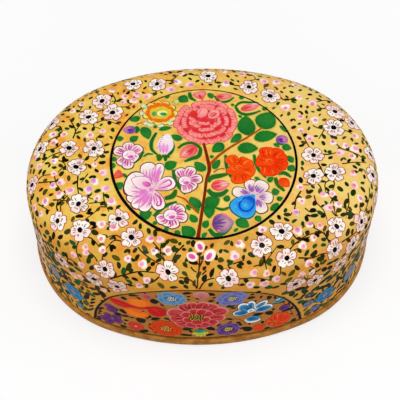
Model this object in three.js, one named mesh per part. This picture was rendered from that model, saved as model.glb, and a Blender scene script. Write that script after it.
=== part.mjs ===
// An oval papier-mache box with a deep lid. The lid is a wound-paper hoop closed by a moulded crown with a
// round shoulder. It slips down over an inner tray and rests on the edge of the foot plate under the tray.
// Millimetres, +Z up. The origin is the centre of the underside, and the box is longest along X.
import * as THREE from 'three';

// The whole box
const boxLength = 152;
const boxWidth = 117;
const boxHeight = 60;
const sideRadius = 110; // plan radius of the two long sides, which two rounder arcs join at the ends

// Foot plate, and the board glued on it that the tray's wall fits round
const footThickness = 5;
const footProjection = 0.5; // how far the plate stands out past the lid
const footLowerRound = 1.6;
const footUpperRound = 0.6;
const floorThickness = 2;
const floorEdgeRound = 0.4;

// Lid
const lidWall = 3;
const shoulderRadius = 14.5;
const crownRise = 2.2; // how far the crown swells above the inner edge of the shoulder
const lapDepth = 5; // the crown's lip reaches this far down inside the hoop
const hoopFootRound = 0.6;

// Tray
const trayWall = 3;
const trayRimBelowShoulder = 1.5; // the rim stops this far under the start of the shoulder
const trayRimRound = 1.2;

// Fits
const slipGap = 0.5; // between the tray and the lid that slides over it
const seatGap = 0.3; // under the closed lid
const glueLine = 0.1; // between faces that are glued together

// Facets
const endSegments = 24;
const sideSegments = 16;
const shoulderSegments = 7;
const roundSegments = 3;
const crownShares = [0.86, 0.7, 0.52, 0.34, 0.17];
const roundShareOfWall = 0.45; // a wall's edge takes no more than this share of it on each side

// Levels and insets that follow from the sizes above. An inset runs inwards from the foot plate's edge.
const crownEdgeAngle = Math.atan((2 * crownRise) / (boxWidth / 2 - shoulderRadius));
const shoulderStart = boxHeight - crownRise - shoulderRadius * Math.cos(crownEdgeAngle);
const lidOuterInset = footProjection;
const lidInnerInset = lidOuterInset + lidWall;
const lapInset = lidOuterInset + lidWall / 2;
const trayOuterInset = lidInnerInset + slipGap;
const trayInnerInset = trayOuterInset + trayWall;
const gluedOnFoot = footThickness + glueLine;
const trayRim = shoulderStart - trayRimBelowShoulder;

/** The arcs of an oval made of two flat side arcs and two end arcs that meet them at a tangent. */
function fourArcOval(length, width, radiusAtSides) {
  const halfLength = length / 2;
  const halfWidth = width / 2;
  const sideCentre = radiusAtSides - halfWidth;
  const radiusAtEnds =
    (radiusAtSides ** 2 - sideCentre ** 2 - halfLength ** 2) / (2 * (radiusAtSides - halfLength));
  const endCentre = halfLength - radiusAtEnds;
  const meeting = Math.atan2(sideCentre, endCentre);
  const end = { radius: radiusAtEnds, spread: meeting, segments: endSegments };
  const side = { radius: radiusAtSides, spread: Math.PI / 2 - meeting, segments: sideSegments };
  return [
    { ...end, x: endCentre, y: 0, middle: 0 },
    { ...side, x: 0, y: -sideCentre, middle: Math.PI / 2 },
    { ...end, x: -endCentre, y: 0, middle: Math.PI },
    { ...side, x: 0, y: sideCentre, middle: (3 * Math.PI) / 2 },
  ];
}

const oval = fourArcOval(boxLength, boxWidth, sideRadius);

/** One ring of points round the oval, moved straight inwards by the inset. */
function ring(inset, z) {
  const points = [];
  for (const arc of oval) {
    const reach = arc.radius - inset;
    for (let step = 0; step < arc.segments; step += 1) {
      const angle = arc.middle + arc.spread * ((2 * step) / arc.segments - 1);
      const x = arc.x + reach * Math.cos(angle);
      const y = arc.y + reach * Math.sin(angle);
      points.push(new THREE.Vector3(x, y, z));
    }
  }
  return points;
}

/** A ring shrunk to one point on the box's axis. */
function centre(z) {
  return [new THREE.Vector3(0, 0, z)];
}

/** Rings along a round edge. The angle is 0 facing outwards and a right angle facing up. */
function roundedEdge(centreInset, centreZ, radius, fromAngle, toAngle, segments = roundSegments) {
  const rings = [];
  for (let step = 0; step <= segments; step += 1) {
    const angle = fromAngle + ((toAngle - fromAngle) * step) / segments;
    rings.push(ring(centreInset - radius * Math.cos(angle), centreZ + radius * Math.sin(angle)));
  }
  return rings;
}

/** Rings that shrink from an edge ring to the centre. The swell falls off with the square of the share. */
function swell(edge, rise) {
  const edgeZ = edge[0].z;
  const rings = crownShares.map((share) => {
    const z = edgeZ + rise * (1 - share ** 2);
    return edge.map((point) => new THREE.Vector3(point.x * share, point.y * share, z));
  });
  return [...rings, centre(edgeZ + rise)];
}

/** A closed surface through rings that run up the outside and down the inside, or from centre to centre. */
function skin(rings) {
  const starts = [];
  const coordinates = [];
  for (const points of rings) {
    starts.push(coordinates.length / 3);
    for (const point of points) coordinates.push(point.x, point.y, point.z);
  }
  const columns = Math.max(...rings.map((points) => points.length));
  const vertex = (row, column) => starts[row] + (rings[row].length === 1 ? 0 : column);
  const endsOnCentres = rings[0].length === 1;
  const bands = endsOnCentres ? rings.length - 1 : rings.length;
  const triangles = [];
  for (let band = 0; band < bands; band += 1) {
    const next = (band + 1) % rings.length;
    for (let column = 0; column < columns; column += 1) {
      const beside = (column + 1) % columns;
      const below = vertex(band, column);
      const belowBeside = vertex(band, beside);
      const above = vertex(next, column);
      const aboveBeside = vertex(next, beside);
      if (below !== belowBeside) triangles.push(below, belowBeside, aboveBeside);
      if (above !== aboveBeside) triangles.push(below, aboveBeside, above);
    }
  }
  const geometry = new THREE.BufferGeometry();
  geometry.setAttribute('position', new THREE.Float32BufferAttribute(coordinates, 3));
  geometry.setIndex(triangles);
  geometry.computeVertexNormals();
  return geometry;
}

const facingDown = -Math.PI / 2;
const facingOut = 0;
const facingUp = Math.PI / 2;
const facingIn = Math.PI;

/** The oval plate under everything, whose edge shows as the plain band below the lid. */
function footPlateGeometry() {
  const upperCentre = footThickness - footUpperRound;
  return skin([
    centre(0),
    ...roundedEdge(footLowerRound, footLowerRound, footLowerRound, facingDown, facingOut),
    ...roundedEdge(footUpperRound, upperCentre, footUpperRound, facingOut, facingUp),
    centre(footThickness),
  ]);
}

/** The board on the foot plate that is the tray's floor and holds the tray's wall in place. */
function floorBoardGeometry() {
  const inset = trayInnerInset + glueLine;
  const top = gluedOnFoot + floorThickness;
  return skin([
    centre(gluedOnFoot),
    ring(inset, gluedOnFoot),
    ...roundedEdge(inset + floorEdgeRound, top - floorEdgeRound, floorEdgeRound, facingOut, facingUp),
    centre(top),
  ]);
}

/** The tray's wall, glued on the foot plate round the floor board, with a round rim. */
function trayHoopGeometry() {
  const rimRound = Math.min(trayRimRound, trayWall * roundShareOfWall);
  const rimCentre = trayRim - rimRound;
  return skin([
    ring(trayOuterInset, gluedOnFoot),
    ...roundedEdge(trayOuterInset + rimRound, rimCentre, rimRound, facingOut, facingUp),
    ...roundedEdge(trayInnerInset - rimRound, rimCentre, rimRound, facingUp, facingIn),
    ring(trayInnerInset, gluedOnFoot),
  ]);
}

/** The lid's wall. Its upper edge is cut back on the inside for the crown's lip. */
function lidHoopGeometry() {
  const bottom = footThickness + seatGap;
  const footRound = Math.min(hoopFootRound, lidWall * roundShareOfWall);
  const lapFloor = shoulderStart - lapDepth;
  return skin([
    ...roundedEdge(lidOuterInset + footRound, bottom + footRound, footRound, facingDown, facingOut),
    ring(lidOuterInset, shoulderStart),
    ring(lapInset, shoulderStart),
    ring(lapInset, lapFloor),
    ring(lidInnerInset, lapFloor),
    ring(lidInnerInset, bottom),
  ]);
}

/** The moulded top: round shoulder, gentle swell, and the lip that is glued inside the hoop. */
function lidCrownGeometry() {
  const bottom = shoulderStart + glueLine;
  const lipBottom = shoulderStart - lapDepth + glueLine;
  const centreInset = lidOuterInset + shoulderRadius;
  const innerRadius = shoulderRadius - lidWall;
  const startAngle = Math.asin(glueLine / shoulderRadius);
  const endAngle = facingUp - crownEdgeAngle;
  const shoulder = (radius, fromAngle) =>
    roundedEdge(centreInset, shoulderStart, radius, fromAngle, endAngle, shoulderSegments);
  const outer = shoulder(shoulderRadius, startAngle);
  const inner = shoulder(innerRadius, facingOut);
  const outerSwell = swell(outer[outer.length - 1], crownRise);
  const innerSwell = swell(inner[inner.length - 1], crownRise);
  return skin([
    ...innerSwell.reverse(),
    ...inner.reverse(),
    ring(lidInnerInset, lipBottom),
    ring(lapInset + glueLine, lipBottom),
    ring(lapInset + glueLine, bottom),
    ...outer,
    ...outerSwell,
  ]);
}

const goldGround = { color: 0xdca845, roughness: 0.35, metalness: 0.3 };
const blackLacquer = { color: 0x17130f, roughness: 0.3, metalness: 0 };

function piece(name, geometry, finish) {
  const mesh = new THREE.Mesh(geometry, new THREE.MeshStandardMaterial(finish));
  mesh.name = name;
  return mesh;
}

const tray = new THREE.Group();
tray.add(piece('foot_plate', footPlateGeometry(), goldGround));
tray.add(piece('floor_board', floorBoardGeometry(), blackLacquer));
tray.add(piece('tray_hoop', trayHoopGeometry(), blackLacquer));

const lid = new THREE.Group();
lid.add(piece('lid_hoop', lidHoopGeometry(), goldGround));
lid.add(piece('lid_crown', lidCrownGeometry(), goldGround));

const box = new THREE.Group();
box.add(tray, lid);

export default box;
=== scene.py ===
# An oval papier-mache box with a deep lift-off lid: gold ground, hand-painted flowers, clear lacquer.
# Sizes are millimetres and become metres where a mesh is made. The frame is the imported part's.
import math

import bpy
import numpy as np
from mathutils import Matrix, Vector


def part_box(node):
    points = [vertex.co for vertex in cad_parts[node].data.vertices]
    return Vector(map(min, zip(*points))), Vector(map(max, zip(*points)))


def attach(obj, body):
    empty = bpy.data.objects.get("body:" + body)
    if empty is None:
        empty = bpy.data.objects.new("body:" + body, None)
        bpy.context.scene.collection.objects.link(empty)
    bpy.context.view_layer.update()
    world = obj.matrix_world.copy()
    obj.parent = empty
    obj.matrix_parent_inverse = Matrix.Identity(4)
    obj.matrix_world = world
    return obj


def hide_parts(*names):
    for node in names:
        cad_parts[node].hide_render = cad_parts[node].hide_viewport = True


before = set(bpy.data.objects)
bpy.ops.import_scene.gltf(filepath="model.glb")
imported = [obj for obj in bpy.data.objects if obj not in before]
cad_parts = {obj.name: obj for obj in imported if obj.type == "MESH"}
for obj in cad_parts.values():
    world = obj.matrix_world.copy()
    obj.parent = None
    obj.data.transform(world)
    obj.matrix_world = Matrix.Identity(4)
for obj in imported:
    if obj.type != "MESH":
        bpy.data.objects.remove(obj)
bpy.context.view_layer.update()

MM = 0.001
QUARTER_TURN, FULL_TURN = math.pi / 2, 2 * math.pi
TINY = 1e-9  # stands in for a length of nothing that something is divided by


def node_box(name):
    """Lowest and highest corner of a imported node, in millimetres."""
    low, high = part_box(name)
    return np.array(low) / MM, np.array(high) / MM


# Sizes read from the frame
PLATE_HIGH = node_box("foot_plate")[1]
BOARD_LOW, BOARD_HIGH = node_box("floor_board")
TRAY_LOW, TRAY_HIGH = node_box("tray_hoop")
HOOP_LOW, HOOP_HIGH = node_box("lid_hoop")
HALF_LENGTH, HALF_WIDTH = PLATE_HIGH[0], PLATE_HIGH[1]
LID_FOOT, SHOULDER_START, TOP = HOOP_LOW[2], HOOP_HIGH[2], node_box("lid_crown")[1][2]
LID_INSET = HALF_LENGTH - HOOP_HIGH[0]
TRAY_INSET = HALF_LENGTH - TRAY_HIGH[0]
BOARD_INSET = HALF_LENGTH - BOARD_HIGH[0]

# Sizes that a node's box doesn't tell
SIDE_RADIUS, SHOULDER_RADIUS, CROWN_RISE = 110.0, 14.5, 2.2
LID_WALL, TRAY_WALL = 3.0, 3.0
TRAY_RIM_ROUND, BOARD_EDGE_ROUND, HOOP_FOOT_ROUND = 1.2, 0.4, 0.6
PLATE_LOWER_ROUND, PLATE_UPPER_ROUND = 1.6, 0.6
PAINT_DEPTH = 0.3  # the ground lies this far inside the part's surface, and the paint fills the depth

# The four-arc oval: two flat side arcs, and two end arcs that meet them at a tangent
SIDE_CENTRE = SIDE_RADIUS - HALF_WIDTH
END_RADIUS = (SIDE_RADIUS**2 - SIDE_CENTRE**2 - HALF_LENGTH**2) / (2 * (SIDE_RADIUS - HALF_LENGTH))
END_CENTRE = HALF_LENGTH - END_RADIUS
MEETING = math.atan2(SIDE_CENTRE, END_CENTRE)

# The lid's painted ground, PAINT_DEPTH inside the part's surface
CROWN_EDGE_ANGLE = math.atan(2 * CROWN_RISE / (HALF_WIDTH - SHOULDER_RADIUS))
SHOULDER_END = QUARTER_TURN - CROWN_EDGE_ANGLE
SHOULDER_CENTRE = LID_INSET + SHOULDER_RADIUS
GROUND_INSET = LID_INSET + PAINT_DEPTH
GROUND_RADIUS = SHOULDER_RADIUS - PAINT_DEPTH
CROWN_EDGE_INSET = SHOULDER_CENTRE - GROUND_RADIUS * math.sin(CROWN_EDGE_ANGLE)
CROWN_EDGE_Z = SHOULDER_START + GROUND_RADIUS * math.cos(CROWN_EDGE_ANGLE)
GROUND_RISE = TOP - PAINT_DEPTH - CROWN_EDGE_Z
LEAST_GAUGE = 1e-6  # keeps the swell's slope finite at the lid's middle

RIM_LEVEL = LID_FOOT + HOOP_FOOT_ROUND  # no paint goes down onto the round of the lid's lower edge
RIM_EASE = 0.8


def unit(vectors):
    """The vectors at length one."""
    return vectors / np.maximum(np.linalg.norm(vectors, axis=-1, keepdims=True), TINY)


def ease(value, start, end):
    """How far a value has come from start to end, from 0 to 1."""
    return np.clip((value - start) / (end - start), 0, 1)


def arc(at_end, inset):
    """Centre and inset radius of the end arc or the side arc in the first quarter."""
    centre_x, centre_y = np.where(at_end, END_CENTRE, 0.0), np.where(at_end, 0.0, -SIDE_CENTRE)
    return centre_x, centre_y, np.where(at_end, END_RADIUS, SIDE_RADIUS) - inset


def oval_point(turn, inset):
    """Point of the inset oval where the outward normal has the angle turn: the arc's centre plus
    (radius - inset) * (cos turn, sin turn)."""
    cosine, sine = np.cos(turn), np.sin(turn)
    centre_x, centre_y, reach = arc(np.arctan2(np.abs(sine), np.abs(cosine)) < MEETING, inset)
    return centre_x * np.sign(cosine) + reach * cosine, centre_y * np.sign(sine) + reach * sine


def oval_place(x, y):
    """The reverse of oval_point: the normal's turn, and the inset from the edge."""
    across, along = np.abs(x), np.abs(y)
    centre_x, centre_y, radius = arc(np.arctan2(along, across - END_CENTRE) < MEETING, 0.0)
    run, rise = across - centre_x, along - centre_y
    return np.arctan2(rise * np.sign(y), run * np.sign(x)), radius - np.hypot(run, rise)


def oval_reach(x, y, inset):
    """Where the ray from the middle through (x, y) meets the inset oval, and the outward normal there.
    Along the unit ray u the distance is c.u + sqrt(r^2 - c.c + (c.u)^2), with arc centre c and radius r."""
    length = np.maximum(np.hypot(x, y), TINY)
    ux, uy = np.abs(x) / length, np.abs(y) / length
    corner_x = END_CENTRE + (END_RADIUS - inset) * math.cos(MEETING)
    corner_y = (END_RADIUS - inset) * math.sin(MEETING)
    centre_x, centre_y, radius = arc(uy * corner_x < ux * corner_y, inset)
    dot = centre_x * ux + centre_y * uy
    reach = dot + np.sqrt(radius**2 - centre_x**2 - centre_y**2 + dot**2)
    normal_x = (reach * ux - centre_x) / radius * np.where(x < 0, -1.0, 1.0)
    normal_y = (reach * uy - centre_y) / radius * np.where(y < 0, -1.0, 1.0)
    return reach, normal_x, normal_y


def settle(points):
    """The nearest points of the painted ground, and its normals: a wall at one inset, a shoulder of one
    radius, and a swell of height edge + rise * (1 - share^2), share being the edge ring's scale."""
    x, y, z = points[..., 0], points[..., 1], points[..., 2]
    turn, inset = oval_place(x, y)
    rise = z - SHOULDER_START
    lean = np.clip(np.arctan2(rise, SHOULDER_CENTRE - inset), 0.0, QUARTER_TURN)
    on_crown = ((rise > 0) & (lean > SHOULDER_END))[..., None]
    lean = np.where(rise < 0, 0.0, lean)
    side_x, side_y = oval_point(turn, SHOULDER_CENTRE - GROUND_RADIUS * np.cos(lean))
    side_z = np.where(rise < 0, z, SHOULDER_START + GROUND_RADIUS * np.sin(lean))
    side_normal = np.stack([np.cos(turn) * np.cos(lean), np.sin(turn) * np.cos(lean), np.sin(lean)], -1)
    reach, edge_x, edge_y = oval_reach(x, y, CROWN_EDGE_INSET)
    away = np.maximum(np.hypot(x, y), TINY)
    share = away / reach
    slope = 2 * GROUND_RISE * share
    gauge = np.maximum((edge_x * x + edge_y * y) * reach / away, LEAST_GAUGE)
    crown = np.stack([x, y, CROWN_EDGE_Z + GROUND_RISE * (1 - share**2)], -1)
    crown_normal = unit(np.stack([slope * edge_x / gauge, slope * edge_y / gauge, np.ones_like(x)], -1))
    side = np.stack([side_x, side_y, side_z], -1)
    return np.where(on_crown, crown, side), np.where(on_crown, crown_normal, side_normal)


def above_rim(points):
    """The points, closed up towards the lid's lower edge so that none passes it: below start = RIM_LEVEL +
    RIM_EASE the height is RIM_LEVEL + RIM_EASE * e^((z - start) / RIM_EASE)."""
    z = points[..., 2]
    under = np.minimum(z - RIM_LEVEL - RIM_EASE, 0.0)
    kept = np.where(under < 0, RIM_LEVEL + RIM_EASE * np.exp(under / RIM_EASE), z)
    return np.stack([points[..., 0], points[..., 1], kept], -1)


# Materials

LACQUER_WEIGHT, LACQUER_IOR = 0.12, 1.4  # a thin clear coat, rubbed down between its layers
LACQUER_ROUGHNESS, WORN_ROUGHNESS = 0.1, 0.2
LACQUER_WAVE, LACQUER_WAVE_HEIGHT = 16.0, 0.05  # the brushed lacquer's gentle unevenness
# Widths of the patterns. Powder and paint are finer, and are drawn coarse enough to show
POOL_SIZE, SPOT_SIZE, STREAK_SIZE, LOAD_SIZE, GRAIN_SIZE = 9.0, 4.0, 2.2, 0.9, 0.5
TEMPERA_ROUGHNESS = 0.5


def linear(hex_colour):
    """An sRGB hex colour as linear RGBA: ((c + 0.055) / 1.055)^2.4 a channel, c / 12.92 near black."""
    channels = np.array([int(hex_colour[i : i + 2], 16) for i in (1, 3, 5)]) / 255
    bright = ((channels + 0.055) / 1.055) ** 2.4
    return (*np.where(channels <= 0.04045, channels / 12.92, bright).tolist(), 1.0)


def add_node(tree, kind, settings=None, inputs=None):
    """Adds a node, sets its properties, and links or sets its inputs."""
    node = tree.nodes.new("ShaderNode" + kind)
    for key, value in (settings or {}).items():
        setattr(node, key, value)
    for key, value in (inputs or {}).items():
        if isinstance(value, bpy.types.NodeSocket):
            tree.links.new(value, node.inputs[key])
        else:
            node.inputs[key].default_value = value
    return node


def start_material(name):
    """An empty node material, and its tree."""
    material = bpy.data.materials.new(name)
    material.use_nodes = True
    material.node_tree.nodes.clear()
    return material, material.node_tree


def finished(material, shader_inputs):
    """The material, closed with the surface shader and the output."""
    tree = material.node_tree
    shader = add_node(tree, "BsdfPrincipled", inputs=shader_inputs)
    add_node(tree, "OutputMaterial", inputs={"Surface": shader.outputs["BSDF"]})
    return material


def unevenness(tree, size, detail=3.0, roughness=0.7, distortion=0.0):
    """Noise on the object's own coordinates, in lumps of about the size."""
    inputs = {
        "Vector": add_node(tree, "TexCoord").outputs["Object"],
        "Scale": 1 / (size * MM),
        "Detail": detail,
        "Roughness": roughness,
        "Distortion": distortion,
    }
    return add_node(tree, "TexNoise", {"noise_dimensions": "3D"}, inputs).outputs["Fac"]


def patches(tree, size, bare, full, **lumps):
    """Soft-edged patches: the unevenness stretched to 0 at bare and to 1 at full."""
    inputs = {"Value": unevenness(tree, size, **lumps), "From Min": bare, "From Max": full}
    return add_node(tree, "MapRange", {"interpolation_type": "SMOOTHSTEP"}, inputs).outputs["Result"]


def coated(tree, colour, coats):
    """A colour under more coats, each a place from 0 to 1, a strength and a tone."""
    for place, strength, tone in coats:
        weight = add_node(tree, "Math", {"operation": "MULTIPLY"}, {0: place, 1: strength}).outputs[0]
        blend = {0: weight, 6: colour, 7: tone}
        colour = add_node(tree, "Mix", {"data_type": "RGBA"}, blend).outputs[2]
    return colour


def lacquer_bump(tree):
    """The clear coat's slow waves, left by the brush and the layered paper."""
    waves = unevenness(tree, LACQUER_WAVE, detail=1.0, roughness=0.5)
    inputs = {"Strength": 1.0, "Distance": LACQUER_WAVE_HEIGHT * MM, "Height": waves}
    return add_node(tree, "Bump", inputs=inputs).outputs["Normal"]


def clear_coat(tree):
    """The gloss lacquer, which alone gives the gold and the paint their shine."""
    return {
        "Specular IOR Level": 0.0,
        "Coat Weight": LACQUER_WEIGHT,
        "Coat IOR": LACQUER_IOR,
        "Coat Roughness": LACQUER_ROUGHNESS,
        "Coat Normal": lacquer_bump(tree),
    }


def gold_ground():
    """Bronze powder in glue, dabbed on by hand: yellow gold with orange spots, paler towards one end, duller
    behind the lunettes, and browner with painted shade below the crown, on the long walls and on the near
    side."""
    material, tree = start_material("bronze_powder_gold_ground")
    paint = add_node(tree, "Attribute", {"attribute_name": "paint"}).outputs["Color"]
    places = add_node(tree, "SeparateColor", inputs={0: paint}).outputs
    orange = patches(tree, SPOT_SIZE, 0.43, 0.6)
    # The browner gold of the painted shade, which the green share of the lid's paint brings in
    brown = coated(tree, linear("#CE9434"), [(orange, 1.0, linear("#D8862A"))])
    coats = [
        (orange, 1.0, linear("#FAA23A")),
        (patches(tree, POOL_SIZE, 0.4, 0.6, roughness=0.65), 0.62, linear("#F4E070")),
        (places["Blue"], 0.5, linear("#FAE090")),
        (places["Green"], 0.85, brown),
        (places["Red"], 0.85, linear("#B07030")),
        (patches(tree, GRAIN_SIZE, 0.7, 0.3, detail=2.0), 0.14, linear("#7A4A14")),
    ]
    colour = coated(tree, linear("#F4C656"), coats)
    return finished(material, {"Base Color": colour, "Metallic": 0.06, "Roughness": 0.38, **clear_coat(tree)})


def bronze_edge():
    """The foot plate's edge: the same powder, painted browner as painted shade on the low band below the lid.
    """
    material, tree = start_material("shaded_bronze_powder_edge")
    coats = [
        (patches(tree, SPOT_SIZE, 0.36, 0.66, roughness=0.6), 1.0, linear("#9C6426")),
        (patches(tree, GRAIN_SIZE, 0.7, 0.3, detail=2.0), 0.2, linear("#4A2C10")),
    ]
    colour = coated(tree, linear("#C48A3A"), coats)
    coat = {**clear_coat(tree), "Coat Roughness": WORN_ROUGHNESS}
    return finished(material, {"Base Color": colour, "Metallic": 0.15, "Roughness": 0.42, **coat})


def black_lacquer():
    """Lamp-black paint under a clear satin lacquer, with faint streaks of the brush."""
    material, tree = start_material("black_satin_lacquer")
    streaks = patches(tree, STREAK_SIZE, 0.3, 0.7, roughness=0.6, distortion=1.5)
    colour = coated(tree, linear("#17130F"), [(streaks, 1.0, linear("#241D17"))])
    satin = {"Roughness": 0.45, "Coat Weight": 1.0, "Coat Roughness": 0.25, "Coat Normal": lacquer_bump(tree)}
    return finished(material, {"Base Color": colour, **satin})


def tempera(name, mottle):
    """Opaque water-bound paint, uneven within a stroke, under the same gloss lacquer."""
    material, tree = start_material(name + "_tempera")
    paint = add_node(tree, "Attribute", {"attribute_name": "paint"}).outputs["Color"]
    over_gold = {0: 1.0, 6: paint, 7: linear("#A8784A")}
    thin = add_node(tree, "Mix", {"data_type": "RGBA", "blend_type": "MULTIPLY"}, over_gold).outputs[2]
    bare = patches(tree, LOAD_SIZE, 0.7, 0.3, roughness=0.65, distortion=0.6)
    colour = coated(tree, paint, [(bare, mottle, thin)])
    return finished(material, {"Base Color": colour, "Roughness": TEMPERA_ROUGHNESS, **clear_coat(tree)})


# Meshes


def make_piece(name, points, faces, body, slot_name, material, normals=None, colours=None):
    """A mesh piece from points in millimetres and triangles, riding on a body of the frame."""
    mesh = bpy.data.meshes.new(name)
    corners = np.ascontiguousarray(faces, dtype=np.int32).ravel()
    starts = np.arange(0, len(corners), 3, dtype=np.int32)
    mesh.vertices.add(len(points))
    mesh.vertices.foreach_set("co", (points * MM).astype(np.float32).ravel())
    mesh.loops.add(len(corners))
    mesh.loops.foreach_set("vertex_index", corners)
    mesh.polygons.add(len(starts))
    mesh.polygons.foreach_set("loop_start", starts)
    mesh.polygons.foreach_set("use_smooth", np.full(len(starts), True))
    mesh.update(calc_edges=True)
    if colours is not None:
        paint = mesh.color_attributes.new("paint", "FLOAT_COLOR", "POINT")
        paint.data.foreach_set("color", colours.astype(np.float32).ravel())
    if normals is not None:
        facing = mesh.attributes.new("custom_normal", "FLOAT_VECTOR", "POINT")
        facing.data.foreach_set("vector", normals.astype(np.float32).ravel())
    mesh.materials.append(material)
    piece = bpy.data.objects.new(name, mesh)
    bpy.context.scene.collection.objects.link(piece)
    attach(piece, body)
    return piece


def even_turns(count):
    """The normal's angle at places that lie evenly along the oval: turn runs with length over radius."""
    ends, sides = END_RADIUS * MEETING, SIDE_RADIUS * (QUARTER_TURN - MEETING)
    lengths = np.cumsum([0, ends, 2 * sides, 2 * ends, 2 * sides, ends])
    turns = [0, MEETING, math.pi - MEETING, math.pi + MEETING, FULL_TURN - MEETING, FULL_TURN]
    return np.interp(np.linspace(0, 1, count, endpoint=False) * lengths[-1], lengths, turns)


RING_TURNS = even_turns(432)  # about a millimetre apart


def ring(inset, z):
    """One ring of points round the oval at an inset and a height."""
    x, y = oval_point(RING_TURNS, inset)
    return np.stack([x, y, np.full_like(x, z)], -1)


def rounded(centre_inset, centre_z, radius, start, end, steps):
    """Rings along a round edge. The angle is 0 facing outwards and grows upwards."""
    angles = np.linspace(start, end, steps)
    return [ring(centre_inset - radius * math.cos(a), centre_z + radius * math.sin(a)) for a in angles]


def straight(inset_from, inset_to, z_from, z_to, steps):
    """Rings evenly between two places, without the two ends."""
    shares = np.linspace(0, 1, steps + 2)[1:-1]
    return [ring(inset_from + (inset_to - inset_from) * s, z_from + (z_to - z_from) * s) for s in shares]


def swell(edge, rise, steps):
    """Rings that shrink from an edge to the middle, where the height runs with 1 - share^2."""
    level = np.array([0.0, 0.0, edge[0, 2]])
    flat, up = edge - level, np.array([0.0, 0.0, rise])
    return [level + flat * s + up * (1 - s**2) for s in np.linspace(1, 0, steps + 1)[1:]]


def lofted(rings, closed=False):
    """Points and triangles of a skin through rings that run up the outside. A closed one joins its last ring
    to its first; else both are single points."""
    body_rings = rings if closed else rings[1:-1]
    poles = [] if closed else [rings[0][:1], rings[-1][:1]]
    rows, columns = len(body_rings), len(body_rings[0])
    points = np.concatenate([*poles[:1], *body_rings, *poles[1:]])
    index = len(poles[:1]) + np.arange(rows * columns).reshape(rows, columns)
    lower = index if closed else index[:-1]
    upper = np.roll(index, -1, axis=0) if closed else index[1:]
    beside_lower, beside_upper = np.roll(lower, -1, axis=1), np.roll(upper, -1, axis=1)
    faces = [np.stack([lower, beside_lower, beside_upper], -1), np.stack([lower, beside_upper, upper], -1)]
    faces = [f.reshape(-1, 3) for f in faces]
    if not closed:
        bottom, top = index[0], index[-1]
        faces.append(np.stack([np.zeros(columns, int), np.roll(bottom, -1), bottom], -1))
        faces.append(np.stack([top, np.roll(top, -1), np.full(columns, len(points) - 1)], -1))
    return points, np.concatenate(faces)


FACING_DOWN, FACING_OUT, FACING_UP, FACING_IN = -QUARTER_TURN, 0.0, QUARTER_TURN, math.pi
LINING_INSET = LID_INSET + LID_WALL / 2  # the gold skin and the black lining meet in the middle of the wall
LINING_GAP = 0.02
LINING_LIFT = 0.1  # the lining's lower edge lies this much above the gold one
# Painted shade on the gold ground, on the shoulder, the long walls and towards the viewer, and where it pales
PAINTED_SHADE_HEIGHTS, PAINTED_SHADE_AT_ENDS = (SHOULDER_START + 15.5, SHOULDER_START + 6.5), 0.35
NEAR_SHADE_PLACES, NEAR_SHADE_SHARE = (27.0, 40.0), 0.8
PALE_PLACES = (-15.0, 50.0)
BROADSIDE = (0.3, 0.7)  # of the part of the normal that faces across the box
LUNETTE_EDGE = 0.3


def dome(foot_inset, foot_z, radius, steps):
    """Rings of one of the lid's inner faces, with the steps of its wall, its shoulder and its swell."""
    wall_steps, shoulder_steps, crown_steps = steps
    edge_z = SHOULDER_START + radius * math.cos(CROWN_EDGE_ANGLE)
    edge = ring(SHOULDER_CENTRE - radius * math.sin(CROWN_EDGE_ANGLE), edge_z)
    return [
        ring(foot_inset, foot_z),
        *straight(foot_inset, foot_inset, foot_z, SHOULDER_START, wall_steps),
        *rounded(SHOULDER_CENTRE, SHOULDER_START, radius, FACING_OUT, SHOULDER_END, shoulder_steps),
        *swell(edge, CROWN_RISE, crown_steps),
    ]


def lid_shell(material):
    """The lid's outer half. The red of its paint is the duller ground under the lunettes, the green the
    painted shade on the shoulder, the long walls and the near side, and the blue the paler ground at one end."""
    foot = LID_FOOT + HOOP_FOOT_ROUND
    inside_up = dome(LINING_INSET, LID_FOOT, SHOULDER_RADIUS - LID_WALL / 2, steps=(3, 9, 7))
    outside_up = [
        *rounded(GROUND_INSET + HOOP_FOOT_ROUND, foot, HOOP_FOOT_ROUND, FACING_DOWN, FACING_OUT, steps=5),
        *straight(GROUND_INSET, GROUND_INSET, foot, SHOULDER_START, steps=40),
        *rounded(SHOULDER_CENTRE, SHOULDER_START, GROUND_RADIUS, FACING_OUT, SHOULDER_END, steps=26)[:-1],
        ring(CROWN_EDGE_INSET, CROWN_EDGE_Z),
        *swell(ring(CROWN_EDGE_INSET, CROWN_EDGE_Z), GROUND_RISE, steps=22),
    ]
    points, faces = lofted([*inside_up[::-1], *outside_up])
    # Painted shade: the gold darkens low on the shoulder and the wall, most on the long walls, and towards
    # the viewer
    broadside = ease(np.abs(settle(points)[1][:, 1]), *BROADSIDE)
    painted_shade = ease(points[:, 2], *PAINTED_SHADE_HEIGHTS) * (PAINTED_SHADE_AT_ENDS + (1 - PAINTED_SHADE_AT_ENDS) * broadside)
    near = NEAR_SHADE_SHARE * ease(-points[:, 1], *NEAR_SHADE_PLACES)
    pale = ease(points[:, 0], *PALE_PLACES)
    dull = in_lunette(points, LUNETTE_EDGE) * 1.0
    shares = np.stack([dull, np.maximum(painted_shade, near), pale, np.ones(len(points))], -1)
    piece = make_piece("lid_shell", points, faces, "lid", "gold_lacquer", material, colours=shares)
    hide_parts("lid_hoop", "lid_crown")


def lid_lining(material):
    """The lid's inner half, from the middle of the wall inwards, painted black."""
    foot, outer_inset = LID_FOOT + LINING_LIFT, LINING_INSET + LINING_GAP
    outer = dome(outer_inset, foot, SHOULDER_CENTRE - outer_inset, steps=(5, 9, 10))
    inner = dome(LID_INSET + LID_WALL, foot, SHOULDER_RADIUS - LID_WALL, steps=(5, 16, 10))
    make_piece("lid_lining", *lofted([*inner[::-1], *outer]), "lid", "black_lacquer", material)


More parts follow.
